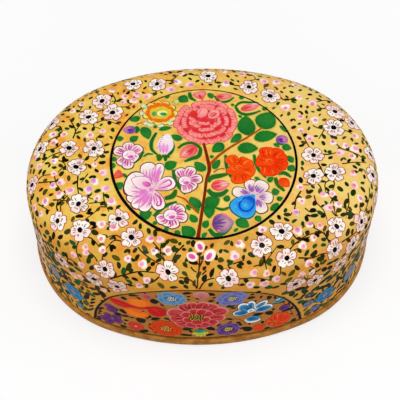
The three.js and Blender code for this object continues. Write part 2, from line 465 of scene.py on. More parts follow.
def foot_plate(material):
    """The plate under everything, whose edge is the plain gold band below the lid."""
    top = PLATE_HIGH[2]
    low_round, high_round = PLATE_LOWER_ROUND, PLATE_UPPER_ROUND
    rings = [
        *swell(ring(low_round, 0.0), 0.0, steps=4)[::-1],
        *rounded(low_round, low_round, low_round, FACING_DOWN, FACING_OUT, steps=8),
        *rounded(high_round, top - high_round, high_round, FACING_OUT, FACING_UP, steps=6),
        *swell(ring(high_round, top), 0.0, steps=4),
    ]
    piece = make_piece("foot_plate_skin", *lofted(rings), "base", "gold_lacquer", material)
    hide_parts("foot_plate")


def floor_board(material):
    """The board inside the tray's wall."""
    top = BOARD_HIGH[2]
    bottom_edge = ring(BOARD_INSET, BOARD_LOW[2])
    shoulder = BOARD_INSET + BOARD_EDGE_ROUND
    rings = [
        *swell(bottom_edge, 0.0, steps=4)[::-1],
        bottom_edge,
        *rounded(shoulder, top - BOARD_EDGE_ROUND, BOARD_EDGE_ROUND, FACING_OUT, FACING_UP, steps=5),
        *swell(ring(shoulder, top), 0.0, steps=4),
    ]
    piece = make_piece("floor_board_skin", *lofted(rings), "base", "black_lacquer", material)
    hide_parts("floor_board")


def tray_hoop(material):
    """The tray's wall, with a round rim that guides the lid."""
    inner, bottom, rim = TRAY_INSET + TRAY_WALL, TRAY_LOW[2], TRAY_HIGH[2] - TRAY_RIM_ROUND
    rings = [
        ring(TRAY_INSET, bottom),
        *straight(TRAY_INSET, TRAY_INSET, bottom, rim, steps=5),
        *rounded(TRAY_INSET + TRAY_RIM_ROUND, rim, TRAY_RIM_ROUND, FACING_OUT, FACING_UP, steps=6),
        *rounded(inner - TRAY_RIM_ROUND, rim, TRAY_RIM_ROUND, FACING_UP, FACING_IN, steps=6),
        *straight(inner, inner, rim, bottom, steps=5),
        ring(inner, bottom),
        *straight(inner, TRAY_INSET, bottom, bottom, steps=1),
    ]
    piece = make_piece("tray_hoop_skin", *lofted(rings, closed=True), "base", "black_lacquer", material)
    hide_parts("tray_hoop")


# Camera: fitted to the photograph's silhouette, seam line and medallion
IMAGE_SIZE = 400
FOCAL_PIXELS = 995.3
CAMERA_DISTANCE = 464.1
CAMERA_ELEVATION = math.radians(57.234)
CAMERA_AZIMUTH = math.radians(-2.72)
LOOK_YAW = math.radians(-0.234)
LOOK_DOWN = math.radians(57.234 - 1.858)
CAMERA_ROLL = math.radians(0.45)
SENSOR_WIDTH = 36.0
NEAREST, FARTHEST = 0.01, 20.0  # that the camera shows, in metres

# Lamps: name, place and target in metres, direction that the upper edge leans to, width in metres, watts
UPRIGHT, TO_BACK = (0.0, 0.0, 1.0), (0.0, 1.0, 0.0)
LAMPS = [
    ("overhead", (0.0, -0.05, 1.3), (0.0, 0.0, 0.0), TO_BACK, 0.7, 7.6),
    ("front_box", (0.15, -1.1, 0.4), (0.0, 0.0, 0.03), UPRIGHT, 0.7, 2.0),
    ("left_box", (-0.9, -0.3, 0.6), (0.0, 0.0, 0.03), UPRIGHT, 0.6, 3.0),
    ("right_box", (0.9, -0.2, 0.6), (0.0, 0.0, 0.03), UPRIGHT, 0.6, 2.8),
]
FLOOR_REACH = 4.0
FLOOR_GLOW = 0.7


def turned(vector, angle):
    """A vector turned round the upright axis."""
    cosine, sine = math.cos(angle), math.sin(angle)
    x, y, z = vector
    return np.array([x * cosine - y * sine, x * sine + y * cosine, z])


def right_and_up(ahead, upright):
    """The directions to the right and upwards of something that looks ahead."""
    right = unit(np.cross(ahead, upright))
    return right, np.cross(right, ahead)


def camera_axes():
    """The camera's place in millimetres, and its right, up and forward directions."""
    low, high = math.cos(CAMERA_ELEVATION), math.sin(CAMERA_ELEVATION)
    place = CAMERA_DISTANCE * turned((0.0, -low, high), CAMERA_AZIMUTH)
    level, drop = math.cos(LOOK_DOWN), math.sin(LOOK_DOWN)
    ahead = turned((math.sin(LOOK_YAW) * level, math.cos(LOOK_YAW) * level, -drop), CAMERA_AZIMUTH)
    right, up = right_and_up(ahead, UPRIGHT)
    cosine, sine = math.cos(CAMERA_ROLL), math.sin(CAMERA_ROLL)
    return place, right * cosine + up * sine, up * cosine - right * sine, ahead


def put_in_scene(name, data, place, right, up, ahead):
    """An object at a place in metres that looks ahead."""
    holder = bpy.data.objects.new(name, data)
    rows = np.stack([right, up, -ahead, np.array(place)], -1).tolist()
    holder.matrix_world = Matrix([*rows, [0.0, 0.0, 0.0, 1.0]])
    bpy.context.scene.collection.objects.link(holder)
    return holder


def make_camera():
    """The photograph's camera."""
    lens = bpy.data.cameras.new("camera")
    lens.sensor_width = SENSOR_WIDTH
    lens.lens = FOCAL_PIXELS * SENSOR_WIDTH / IMAGE_SIZE
    lens.clip_start, lens.clip_end = NEAREST, FARTHEST
    place, right, up, ahead = camera_axes()
    bpy.context.scene.camera = put_in_scene("camera", lens, place * MM, right, up, ahead)


def make_lamps():
    """Square soft lights that face their targets."""
    for name, place, target, upright, size, watts in LAMPS:
        lamp = bpy.data.lights.new(name, "AREA")
        lamp.shape = "SQUARE"
        lamp.size = size
        lamp.energy = watts
        ahead = unit(np.array(target) - np.array(place))
        put_in_scene(name, lamp, place, *right_and_up(ahead, upright), ahead)


def seen_directly(tree):
    """1 for rays of the camera, of reflections and through glass, 0 for light that falls on things."""
    rays = add_node(tree, "LightPath").outputs
    seen = rays["Is Camera Ray"]
    for kind in ("Is Glossy Ray", "Is Transmission Ray"):
        seen = add_node(tree, "Math", {"operation": "MAXIMUM"}, {0: seen, 1: rays[kind]}).outputs[0]
    return seen


def make_world():
    """A pale studio with a dim ceiling, so that the lacquer on the lid's top stays clear. Its walls light the
    object a little less than they show."""
    world = bpy.data.worlds.new("studio")
    bpy.context.scene.world = world
    world.use_nodes = True
    tree = world.node_tree
    tree.nodes.clear()
    direction = add_node(tree, "TexCoord").outputs["Generated"]
    height = add_node(tree, "SeparateXYZ", inputs={"Vector": direction}).outputs["Z"]
    fall = {"Value": height, "From Min": 0.25, "From Max": 0.7, "To Min": 1.0, "To Max": 0.2}
    wall = add_node(tree, "MapRange", {"interpolation_type": "SMOOTHSTEP"}, fall).outputs["Result"]
    level = {"Value": seen_directly(tree), "To Min": 0.8, "To Max": 1.0}
    share = add_node(tree, "MapRange", inputs=level).outputs["Result"]
    strength = add_node(tree, "Math", {"operation": "MULTIPLY"}, {0: wall, 1: share}).outputs[0]
    sky = add_node(tree, "Background", inputs={"Color": linear("#FFFFFF"), "Strength": strength})
    add_node(tree, "OutputWorld", inputs={"Surface": sky.outputs["Background"]})


def make_floor():
    """A wide white floor that keeps the soft shadow and throws little light back."""
    material, tree = start_material("white_paper_sweep")
    seen = seen_directly(tree)
    white = coated(tree, linear("#B4B2AE"), [(seen, 1.0, linear("#FDFDFD"))])
    paper = add_node(tree, "BsdfDiffuse", inputs={"Color": white}).outputs[0]
    glow = add_node(tree, "Emission", inputs={"Color": linear("#FFFFFF"), "Strength": 1.0}).outputs[0]
    lift = add_node(tree, "Math", {"operation": "MULTIPLY"}, {0: seen, 1: FLOOR_GLOW}).outputs[0]
    surface = add_node(tree, "MixShader", inputs={0: lift, 1: paper, 2: glow}).outputs[0]
    add_node(tree, "OutputMaterial", inputs={"Surface": surface})
    mesh = bpy.data.meshes.new("floor")
    corners = [(x * FLOOR_REACH, y * FLOOR_REACH, 0.0) for x, y in ((-1, -1), (1, -1), (1, 1), (-1, 1))]
    mesh.from_pydata(corners, [], [(0, 1, 2, 3)])
    mesh.materials.append(material)
    floor = bpy.data.objects.new("floor", mesh)
    bpy.context.scene.collection.objects.link(floor)


# Brushwork. A motif is placed by the pixel of the photograph that shows it.
CAST_REACH, CAST_STEP, CAST_HALVINGS = 100.0, 2.0, 14


def cast(pixels):
    """Points of the ground that pixels of the photograph show: each pixel's ray is followed until a step of
    it passes into the lid, and that step is halved again and again."""
    pixels = np.asarray(pixels, float)
    place, right, up, ahead = camera_axes()
    offset = pixels - IMAGE_SIZE / 2
    rays = unit(ahead + (offset[..., :1] * right - offset[..., 1:] * up) / FOCAL_PIXELS)

    def height(reach):
        """How high over the ground the rays' points at that reach lie."""
        points = place + reach[..., None] * rays
        ground, normals = settle(points)
        return ((points - ground) * normals).sum(-1)

    steps = CAMERA_DISTANCE + np.arange(-CAST_REACH, CAST_REACH, CAST_STEP)
    heights = np.stack([height(np.full(pixels.shape[:-1], step)) for step in steps])
    first = np.where((heights < 0).any(0), (heights < 0).argmax(0), heights.argmin(0))
    low, high = steps[np.maximum(first - 1, 0)], steps[first]
    for _ in range(CAST_HALVINGS):
        middle = (low + high) / 2
        outside = height(middle) > 0
        low, high = np.where(outside, middle, low), np.where(outside, high, middle)
    return settle(place + high[..., None] * rays)[0]


def placed(rows):
    """Rows of base x, base y, tip x, tip y and width, as points on the ground and widths."""
    table = np.array(rows, float)
    return cast(table[:, 0:2]), cast(table[:, 2:4]), table[:, 4]


def beside(points, angles, distances):
    """Points of the ground at angles and distances from others."""
    normals = settle(points)[1]
    first = unit(np.cross(np.where(np.abs(normals[..., 2:]) > STEEP, LENGTHWAYS, UPRIGHT), normals))
    second = np.cross(normals, first)
    angles, distances = np.asarray(angles)[..., None], np.asarray(distances)[..., None]
    return settle(points + distances * (np.cos(angles) * first + np.sin(angles) * second))[0]


STEEP, LENGTHWAYS = 0.9, (1.0, 0.0, 0.0)

chance = np.random.default_rng(1754)
TURNS = (0, FULL_TURN)


def vary(limits, size=None):
    """Random numbers between two limits."""
    return chance.uniform(*limits, size)


def pick(hex_colours, count):
    """Random linear colours out of a string of hex values."""
    table = np.array([linear(c) for c in hex_colours.split()])
    return table[chance.integers(0, len(table), count)]


def tones(hex_colours):
    """A stroke's colours of base, tip and rim, or one for all, out of a string."""
    return tuple(([np.array(linear(c)) for c in hex_colours.split()] * 3)[:3])


ROOT_DEPTH = 0.05  # a stroke's edge goes this far into the ground
LAYER = 0.007  # each coat of paint lies this much over the one before
RIM_SHARE = 0.9
RIM_TINT = 0.65  # share of the rim's colour at a stroke's edge
TINT_FALL = 1.4  # the colour of a stroke's base gives way to its tip's with (1 - share)^1.4
STREAK_BEND, STREAK_FOOT = 0.06, 0.7
SINE_DIGITS = 9  # a sine of nothing past these is 0
LINE_FLAT = 0.8  # share of a line's width that is flat

# How a stroke's half width runs: share^p * (1 - share)^q from its base to its tip, scaled to its greatest
OVAL = (0.5, 0.5)
LEAF = (0.62, 0.85)
BLUNT = (0.36, 0.42)
SPINDLE = (0.9, 0.9)
FAN = (1.15, 0.36)
PETAL = (0.78, 0.4)
GREAT_PETAL = (0.95, 0.45)

FACED_ABOUT = np.array([-1.0, -1.0, 1.0])


def painted_piece(name, points, faces, material, facing, tint):
    """A painted piece of the lid. A front one is painted again on the unseen back, after half a turn."""
    sides = [(name, 1.0)]
    if name.startswith("front_"):
        sides.insert(0, ("back_" + name.removeprefix("front_"), FACED_ABOUT))
    for side, turn in sides:
        make_piece(side, points * turn, faces, "lid", "flower_paint", material, facing * turn, tint)


class Brush:
    """The strokes of one piece. Each is a thin closed patch from a base to a tip on the ground."""

    def __init__(self, rim=12, rings=1):
        self.rim, self.rings, self.strokes = rim, rings, []

    def stroke(self, base, tip, width, colours, shape=OVAL, bend=0.0, layer=0):
        """Adds strokes. Colours are those of base, tip and rim, or one for all three. The bend pushes the
        middle sideways by that share of the length."""
        base, tip = np.atleast_2d(base), np.atleast_2d(tip)
        colours = colours if isinstance(colours, tuple) else (colours,) * 3
        numbers = [np.broadcast_to(n, (len(base),))[:, None] for n in (width, *shape, bend, layer)]
        tints = [np.broadcast_to(c, (len(base), 4)) for c in colours]
        self.strokes.append([base, tip, *numbers, *tints])

    def draw(self, rows, colours, shape=OVAL, bend=0.0, layer=0):
        """Adds the strokes that pixel rows place."""
        self.stroke(*placed(rows), tones(colours), shape, bend, layer)

    def dab(self, middle, turn, half, width, colours, shape=BLUNT, bend=0.0, layer=0):
        """Adds strokes that reach by a half to either side of a middle, in the turn's direction."""
        ends = beside(middle, turn, half), beside(middle, turn + math.pi, half)
        self.stroke(*ends, width, colours, shape, bend, layer)

    def outlined(self, rows, colours, outline, shape=PETAL, layer=0, margin=0.35):
        """Adds petals one over the other, each on an outline that shows round it."""
        base, tip, width = placed(rows)
        order = layer + 2 * np.arange(len(rows))
        grown = settle(tip + unit(tip - base) * margin / 2)[0]
        self.stroke(base, grown, width + margin, tones(outline), shape, 0.0, order)
        self.stroke(base, tip, width, tones(colours), shape, 0.0, order + 1)

    def streaks(self, rows, offsets, reach, colours, width, layer):
        """Adds fine strokes along petals, at shares of the width beside the middle and of the length."""
        base, tip, widths = placed(rows)
        for offset in offsets:
            across = unit(np.cross(settle(tip)[1], tip - base)) * (widths * offset)[:, None]
            near = settle(base + (tip - base) * reach[0] + across * STREAK_FOOT)[0]
            far = settle(base + (tip - base) * reach[1] + across)[0]
            self.stroke(near, far, width, pick(colours, len(rows)), SPINDLE, STREAK_BEND, layer)

    def build(self, name, material):
        """Makes the piece. Round a patch the share runs as (1 - cos a) / 2, and the side has the sign of
        -sin a. Smaller copies of that ring close the top."""
        columns = [np.concatenate(parts) for parts in zip(*self.strokes)]
        base, tip, width, p, q, bend, layer, base_tint, tip_tint, rim_tint = columns
        along = tip - base
        length = np.linalg.norm(along, axis=-1, keepdims=True)
        across = unit(np.cross(settle(settle((base + tip) / 2)[0])[1], along))
        angle = np.linspace(0, FULL_TURN, self.rim, endpoint=False)
        shares = (1 - np.cos(angle)) / 2
        fullest = (p / (p + q)) ** p * (q / (p + q)) ** q
        side_sign = -np.sign(np.sin(angle).round(SINE_DIGITS))
        half = width / 2 * shares**p * (1 - shares) ** q / fullest * side_sign
        scales = [1.0, *np.linspace(RIM_SHARE, 0, self.rings + 1)[:-1]]
        share = np.concatenate([*[0.5 + (shares - 0.5) * s for s in scales], [0.5]])
        side = np.concatenate([*[half * s for s in scales], np.zeros((len(half), 1))], axis=1)
        bow = (bend * 4) * (share * (1 - share))
        flat = base[:, None] + along[:, None] * share[None, :, None]
        flat = flat + across[:, None] * (side + bow * length)[..., None]
        ground, facing = settle(flat)
        lift = np.repeat(ROOT_DEPTH + layer[:, None] * LAYER, len(share), axis=1)
        lift[:, : self.rim] = -ROOT_DEPTH
        points = above_rim(ground + facing * lift)
        run = 1 - (1 - share[None, :, None]) ** TINT_FALL
        tint = base_tint[:, None] * (1 - run) + tip_tint[:, None] * run
        edged = (1 - RIM_TINT) * tint + RIM_TINT * rim_tint[:, None]
        tint = np.where((np.arange(len(share)) < 2 * self.rim)[:, None], edged, tint)
        faces = (self.faces() + np.arange(len(base))[:, None, None] * len(share)).reshape(-1, 3)
        points, facing, tint = (a.reshape(-1, a.shape[-1]) for a in (points, facing, tint))
        painted_piece(name, points, faces, material, facing, tint)

    def faces(self):
        """Triangles of one patch: slopes between rings, a fan on top and one below."""
        here = np.arange(self.rim)
        beyond = np.roll(here, -1)
        faces = []
        for level in range(self.rings):
            low, high = level * self.rim, (level + 1) * self.rim
            faces.append(np.stack([low + here, low + beyond, high + beyond], -1))
            faces.append(np.stack([low + here, high + beyond, high + here], -1))
        high = self.rings * self.rim
        faces.append(np.stack([high + here, high + beyond, np.full(self.rim, high + self.rim)], -1))
        fan = here[1:-1]
        faces.append(np.stack([np.zeros_like(fan), fan + 1, fan], -1))
        return np.concatenate(faces)


def smooth_path(points, step):
    """Points at even steps along a rounded line through the given ones. Between two of them it is the
    cubic whose slopes at both follow their neighbours."""
    points = np.asarray(points, float)
    if len(points) < 3:
        points = np.stack([points[0], (points[0] + points[-1]) / 2, points[-1]])
    gaps = np.linalg.norm(np.diff(points, axis=0), axis=1)
    knots = np.concatenate([[0], np.cumsum(gaps)])
    slopes = np.gradient(points, knots, axis=0)
    count = max(3, int(math.ceil(knots[-1] / step)) + 1)
    where = np.linspace(0, knots[-1], count)
    cell = np.clip(np.searchsorted(knots, where, side="right") - 1, 0, len(gaps) - 1)
    gap = gaps[cell][:, None]
    t = ((where - knots[cell]) / gaps[cell])[:, None]
    ends = (2 * t**3 - 3 * t**2 + 1) * points[cell] + (3 * t**2 - 2 * t**3) * points[cell + 1]
    return ends + gap * ((t**3 - 2 * t**2 + t) * slopes[cell] + (t**3 - t**2) * slopes[cell + 1])


class Liner:
    """The thin lines of one piece: closed ribbons with a flat top that follow paths on the ground."""

    def __init__(self, step=1.0):
        self.step, self.tables, self.count = step, [], 0

    def line(self, path, width, colour, ends=(1.0, 1.0), layer=0, swell_share=0.0):
        """Adds a line. Its width, one or several along it, is scaled from one end's share to the other's, and
        swell_share fills the middle."""
        path = settle(smooth_path(path, self.step))[0]
        share = np.linspace(0, 1, len(path))
        width = np.interp(share, np.linspace(0, 1, np.size(width)), np.atleast_1d(width))
        full = ends[0] + (ends[1] - ends[0]) * share + swell_share * np.sin(math.pi * share)
        along = unit(np.gradient(path, axis=0))
        across = np.cross(settle(path)[1], along)
        sides = (1.0, LINE_FLAT, -LINE_FLAT, -1.0)
        flat = np.stack([path + across * ((width * full)[:, None] / 2 * s) for s in sides], axis=1)
        ground, facing = settle(flat)
        raised = ROOT_DEPTH + layer * LAYER
        lift = np.array([-ROOT_DEPTH, raised, raised, -ROOT_DEPTH])[None, :, None]
        points = above_rim(ground + facing * lift).reshape(-1, 3)
        rows = np.arange(len(path))[:, None] * 4 + np.arange(4)
        near, far = rows[:-1], rows[1:]
        near_next, far_next = np.roll(near, -1, axis=1), np.roll(far, -1, axis=1)
        faces = [np.stack([near, far, far_next], -1), np.stack([near, far_next, near_next], -1)]
        first, last = rows[0], rows[-1]
        caps = [first[[0, 1, 2]], first[[0, 2, 3]], last[[0, 2, 1]], last[[0, 3, 2]]]
        faces = np.concatenate([*[f.reshape(-1, 3) for f in faces], np.array(caps)])[:, ::-1]
        tint = np.broadcast_to(colour, (len(points), 4))
        self.tables.append((points, facing.reshape(-1, 3), tint, faces + self.count))
        self.count += len(points)

    def build(self, name, material):
        """Makes the piece from all its lines."""
        points, facing, tint, faces = (np.concatenate(t) for t in zip(*self.tables))
        painted_piece(name, points, faces, material, facing, tint)


# The field of small white blossoms, buds, leaves and twigs. Lists hold pixels of the photograph.
BLOSSOM_PIXELS = [
    (208, 76), (157, 84), (133, 84), (249, 87), (270, 96), (102, 101), (112.5, 112.6), (88.6, 117),
    (52, 124), (69, 148), (94, 148.6), (40, 149), (76, 167), (32, 185), (78.4, 204), (57.6, 221),
    (118.5, 219), (80, 230), (131.4, 237.4), (105, 269), (94, 279), (61.5, 260), (117, 286.5), (168, 272),
    (228.4, 278.6), (262, 245.4), (281.6, 231.4), (287, 258), (335, 111.5), (352, 123), (333.6, 127.5),
    (313.5, 155.3), (370.4, 154.3), (313.4, 176), (334.3, 172.3), (372.7, 175), (336.7, 226.3),
    (361.5, 221.5), (334.8, 249.7), (295.5, 284), (315, 280), (340, 264), (353, 244),
]
BUD_PIXELS = [
    (111.8, 90.6), (81.5, 104), (73, 111), (52.5, 134.6), (64.6, 134), (54.4, 142), (89.5, 134.6),
    (103, 131), (36, 156), (54.4, 161), (39, 166), (54, 173.6), (94.6, 164.7), (103.5, 172.3), (61, 182),
    (53, 185.7), (95, 182), (70, 191), (88, 190), (59.5, 194.6), (105.5, 189), (97.5, 198), (45.5, 202),
    (34.7, 207), (112, 202), (41, 214), (101, 224), (101.6, 238), (85, 247.6), (149.5, 239.3),
    (160.4, 239.7), (167.4, 250.5), (154.6, 251.5), (128, 259), (143, 264), (146.4, 280), (139.3, 286),
    (113.8, 227), (85.6, 252.5), (73.6, 255), (102.6, 250), (81.6, 265), (73.6, 275), (80.7, 277),
    (104, 290), (234.4, 255.6), (240, 244), (262, 229), (253.6, 273.2), (267, 273.5), (276.5, 279),
    (250.4, 285), (264.4, 283.7), (298.5, 231.4), (353, 173.6), (354.8, 185), (300, 187), (324, 195),
    (332.4, 193.6), (359.7, 198), (301.5, 201), (338, 204.5), (329, 207.6), (309.4, 225), (320.3, 226.3),
    (313.6, 238), (302.7, 245.7), (296, 212), (298.8, 97.7), (312.8, 103), (285.4, 107), (295.5, 85),
    (300, 117), (315, 120), (300.4, 130), (309.5, 138), (356, 136.3), (332.6, 142.6), (345.3, 145.6),
    (354.3, 148.6), (340, 152.3), (352.7, 156.7), (151, 75), (181.4, 73.7), (177.6, 82), (189.7, 84.6),
    (170.3, 89.3), (190.7, 70), (124.7, 97), (136.8, 94.4), (147.6, 96.4), (123.4, 102), (133.6, 101),
    (226, 84), (263.8, 81), (276, 82.3), (242, 74), (252, 73.4), (224, 71.8), (308.5, 263), (301.5, 274.7),
    (312, 272.4),
]
TWIG_PIXELS = [
    [(73, 138.4), (75.5, 131), (71.7, 122.5), (69.7, 119)], [(75.5, 131), (81, 124)],
    [(48, 141), (61, 135)], [(96.5, 123), (102, 120.6), (120, 125)], [(97, 111.7), (111, 107.5)],
    [(45.5, 151), (55.7, 148), (61, 144)], [(56.4, 159.6), (64, 163), (66, 167)],
    [(54, 175.5), (57.6, 185.7), (64, 194), (69.7, 198.5)], [(78, 176), (77.4, 185.7), (78.7, 194)],
    [(88, 173.6), (81, 183)], [(103.5, 189), (104, 199.7), (109, 212)],
    [(106, 207), (99.7, 207), (96, 211), (85, 219.5)], [(53, 200), (70.4, 201)], [(38, 204), (50, 211)],
    [(152.7, 242), (161, 252), (164.8, 260.7)], [(184, 245), (174.4, 255.6), (172, 261.4)],
    [(138, 247), (140.6, 250.5), (149.5, 258), (160.4, 264.5)],
    [(110, 278.6), (124.7, 274.7), (139.3, 271.6), (154.6, 272.5)],
    [(124.7, 274.7), (126.6, 280.5), (132, 284)],
    [(253.6, 266.5), (263.8, 263), (271.4, 254), (277.8, 245.4)], [(263, 255), (263.8, 262.6)],
    [(233, 264), (244.6, 260)], [(237.6, 279), (257.4, 278), (271.4, 280.5)],
    [(289, 250.5), (295.7, 243.5), (300, 242)], [(301, 191), (296, 199), (294.8, 207.6), (290, 216)],
    [(314, 195.4), (316, 201.5), (324, 211), (327, 219.7)],
    [(305, 208), (310, 212), (320, 211), (324, 213.6)],
    [(326.4, 187), (329, 194), (333.6, 202.7), (334.8, 213)],
    [(348, 193), (348.8, 205), (346.3, 212), (346, 218.5)], [(369.4, 187.6), (369.4, 195.4), (364.5, 212)],
    [(342, 242), (359.7, 228.8)], [(294.8, 244), (307, 235.4), (316.7, 232.4)],
    [(298.5, 258), (315.4, 257), (321.5, 254), (327.6, 253)], [(312.8, 125.5), (318, 128), (326, 129.6)],
    [(324, 130), (318.8, 139)], [(335.6, 143), (340, 147.6), (351, 151.7), (360.4, 156.3), (365.7, 162.4)],
    [(342, 163.7), (353, 162.4), (366.4, 163)], [(318, 163), (321.5, 169), (323.5, 176.4)],
    [(335.6, 117.5), (342, 123)],
]
LUNETTE_ARCH = [
    (95, 318.8), (96.4, 309.6), (103, 301.6), (110, 297.4), (122.7, 294.6), (136, 293), (157, 291.5),
    (199, 290.6), (228, 291.5), (258.5, 292.7), (272, 294.6), (283.5, 298), (292.7, 304), (298, 311),
    (300.6, 320),
]

MEDALLION_CENTRE, MEDALLION_RADIUS = (0.35, -1.75), 38.6
BLOSSOM_REACH, BUD_WIDTH = 4.7, 4.2
TWIG_WIDTH, TWIG_STEP = 0.7, 1.2
TWIG_SPAN = 15.0  # a blossom's twigs go to buds within this distance
TWIG_BOWS = (-2.5, 2.5)
TWIG_ROOT, TWIG_END = BLOSSOM_REACH * 0.9, BUD_WIDTH * 0.4  # from a blossom's and a bud's middle
LEAST_FACING = 0.12  # cosine between the normal and the line of sight where the ground still shows
BAND_LEVELS = (LID_FOOT + 1.5, SHOULDER_START + 20)  # of the random points on the wall and the shoulder

# Tries, and how far the points that are kept lie apart and stay from blossoms and buds
FIELD_TRIES, LEAF_TRIES = 5000, 15000
BLOSSOM_SPACING, BUD_SPACING, LEAF_SPACING = 12.5, 6.0, 2.7
BLOSSOM_CLEARANCES, BUD_CLEARANCES, LEAF_CLEARANCES = (10.4, 7.0), (7.0, 5.6), (5.5, 3.0)
FIELD_MARGINS, LEAF_MARGINS = (6.0, 4.6), (2.2, 2.4)  # round the medallion and the lunettes
SPOT_CLEARANCE = 1.7


def in_medallion(points, margin):
    """Whether points lie in the medallion's circle, widened by the margin."""
    away = np.hypot(points[..., 0] - MEDALLION_CENTRE[0], points[..., 1] - MEDALLION_CENTRE[1])
    return (away < MEDALLION_RADIUS + margin) & (points[..., 2] > SHOULDER_START)


def in_lunette(points, margin):
    """Whether points lie under a lunette's arch, widened by the margin."""
    arch = cast(LUNETTE_ARCH)
    along = points[..., 0] * -np.sign(points[..., 1])
    heights = [np.interp(along + m, arch[:, 0], arch[:, 2], 0.0, 0.0) for m in (-margin, 0.0, margin)]
    return points[..., 2] < np.max(heights, axis=0) + margin


def in_field(points, margins):
    """Whether points lie outside the medallion and the lunettes, widened by the two margins."""
    return ~in_medallion(points, margins[0]) & ~in_lunette(points, margins[1])


def in_view(points):
    """Whether the camera sees the ground there."""
    sight = camera_axes()[0] - points
    return (settle(points)[1] * unit(sight)).sum(-1) > LEAST_FACING


def random_ground(count):
    """Random points of the ground: half on the wall and the shoulder, half on the crown."""
    turn = vary(TURNS, count)
    height = vary(BAND_LEVELS, count)
    lean = np.clip((height - SHOULDER_START) / GROUND_RADIUS, 0, SHOULDER_END)
    x, y = oval_point(turn, SHOULDER_CENTRE - GROUND_RADIUS * np.cos(lean))
    z = np.where(lean > 0, SHOULDER_START + GROUND_RADIUS * np.sin(lean), height)
    crown_x = chance.uniform(-HALF_LENGTH, HALF_LENGTH, count)
    crown_y = chance.uniform(-HALF_WIDTH, HALF_WIDTH, count)
    inside = oval_place(crown_x, crown_y)[1] > CROWN_EDGE_INSET
    crown = np.stack([crown_x, crown_y, np.full(count, TOP)], -1)[inside]
    both = np.concatenate([np.stack([x, y, z], -1), crown])
    return settle(chance.permutation(both))[0]


def scattered(candidates, spacing, taken, clearances):
    """The candidates that, one by one, keep the spacing from each other and clear what is there."""
    kept = np.zeros((0, 3))
    for point in candidates:
        if len(kept) and (np.linalg.norm(kept - point, axis=1) < spacing).any():
            continue
        if (np.linalg.norm(taken - point, axis=1) < clearances).any():
            continue
        kept = np.concatenate([kept, point[None]])
    return kept


def cleared(blossoms, buds, clearances):
    """The middles of blossoms and buds, and how far others stay from each."""
    return np.concatenate([blossoms, buds]), np.repeat(clearances, [len(blossoms), len(buds)])


def field_plan():
    """Where blossoms, buds and twigs lie. What the photograph doesn't show is filled in the same way."""
    blossoms, buds = cast(BLOSSOM_PIXELS), cast(BUD_PIXELS)
    twigs = [smooth_path(cast(path), TWIG_STEP) for path in TWIG_PIXELS]
    hidden = random_ground(FIELD_TRIES)
    hidden = hidden[~in_view(hidden) & in_field(hidden, FIELD_MARGINS)]
    more = scattered(hidden, BLOSSOM_SPACING, *cleared(blossoms, buds, BLOSSOM_CLEARANCES))
    blossoms = np.concatenate([blossoms, more])
    more = scattered(hidden, BUD_SPACING, *cleared(blossoms, buds, BUD_CLEARANCES))
    buds = np.concatenate([buds, more])
    for start in blossoms:
        near = buds[np.linalg.norm(buds - start, axis=1) < TWIG_SPAN]
        for bud in chance.permutation(near)[:2]:
            lead = unit(bud - start)
            side = np.cross(settle(start)[1], lead) * vary(TWIG_BOWS)
            root, end = start + lead * TWIG_ROOT, bud - lead * TWIG_END
            path = np.array([root, (start + bud) / 2 + side, end])
            twigs.append(smooth_path(settle(path)[0], TWIG_STEP))
    return blossoms, buds, twigs


def spokes(count):
    """Angles at even steps round a full turn."""
    return np.arange(count) * FULL_TURN / count


# Painted shade on white paint: its greatest share of tan, and the height over the shoulder's start where it
# begins
WHITE_SHADE_SHARE, WHITE_SHADE_RUN = 0.45, 12.0


def shaded(colours, points):
    """White paint's colours, turned towards tan as painted shade where the points lie low on the shoulder and
    the wall.
    """
    share = WHITE_SHADE_SHARE * ease(points[:, 2:], SHOULDER_START + WHITE_SHADE_RUN, SHOULDER_START)
    return colours * (1 - share) + np.array(linear("#DCA07C")) * share


# Blossoms: the ranges that chance picks from, as angles or as shares of the reach
PETALS = 5
BLOSSOM_REACHES, PETAL_REACHES, LOBE_REACHES = (0.92, 1.06), (0.9, 1.06), (0.88, 1.06)
PETAL_JITTER = (-0.1, 0.1)
PETAL_FOOT = 0.08
LOBE_LEANS, LOBE_WIDTHS = (0.13, 0.27), (0.46, 0.62)
BROWN_PAST, BROWN_WIDER = 0.23, 0.48  # millimetres of the outline past the petal
VEINS = [(-0.3, 0.9), (-0.04, 0.65), (0.27, 0.9)]  # angle, and share of the petals that have it
VEIN_JITTER = (-0.07, 0.07)
VEIN_FEET, VEIN_TIPS = (0.26, 0.38), (0.56, 0.84)
VEIN_WIDTH = 0.38
CORE_HALVES, CORE_WIDTHS = (1.2, 1.5), (2.1, 2.6)  # in millimetres


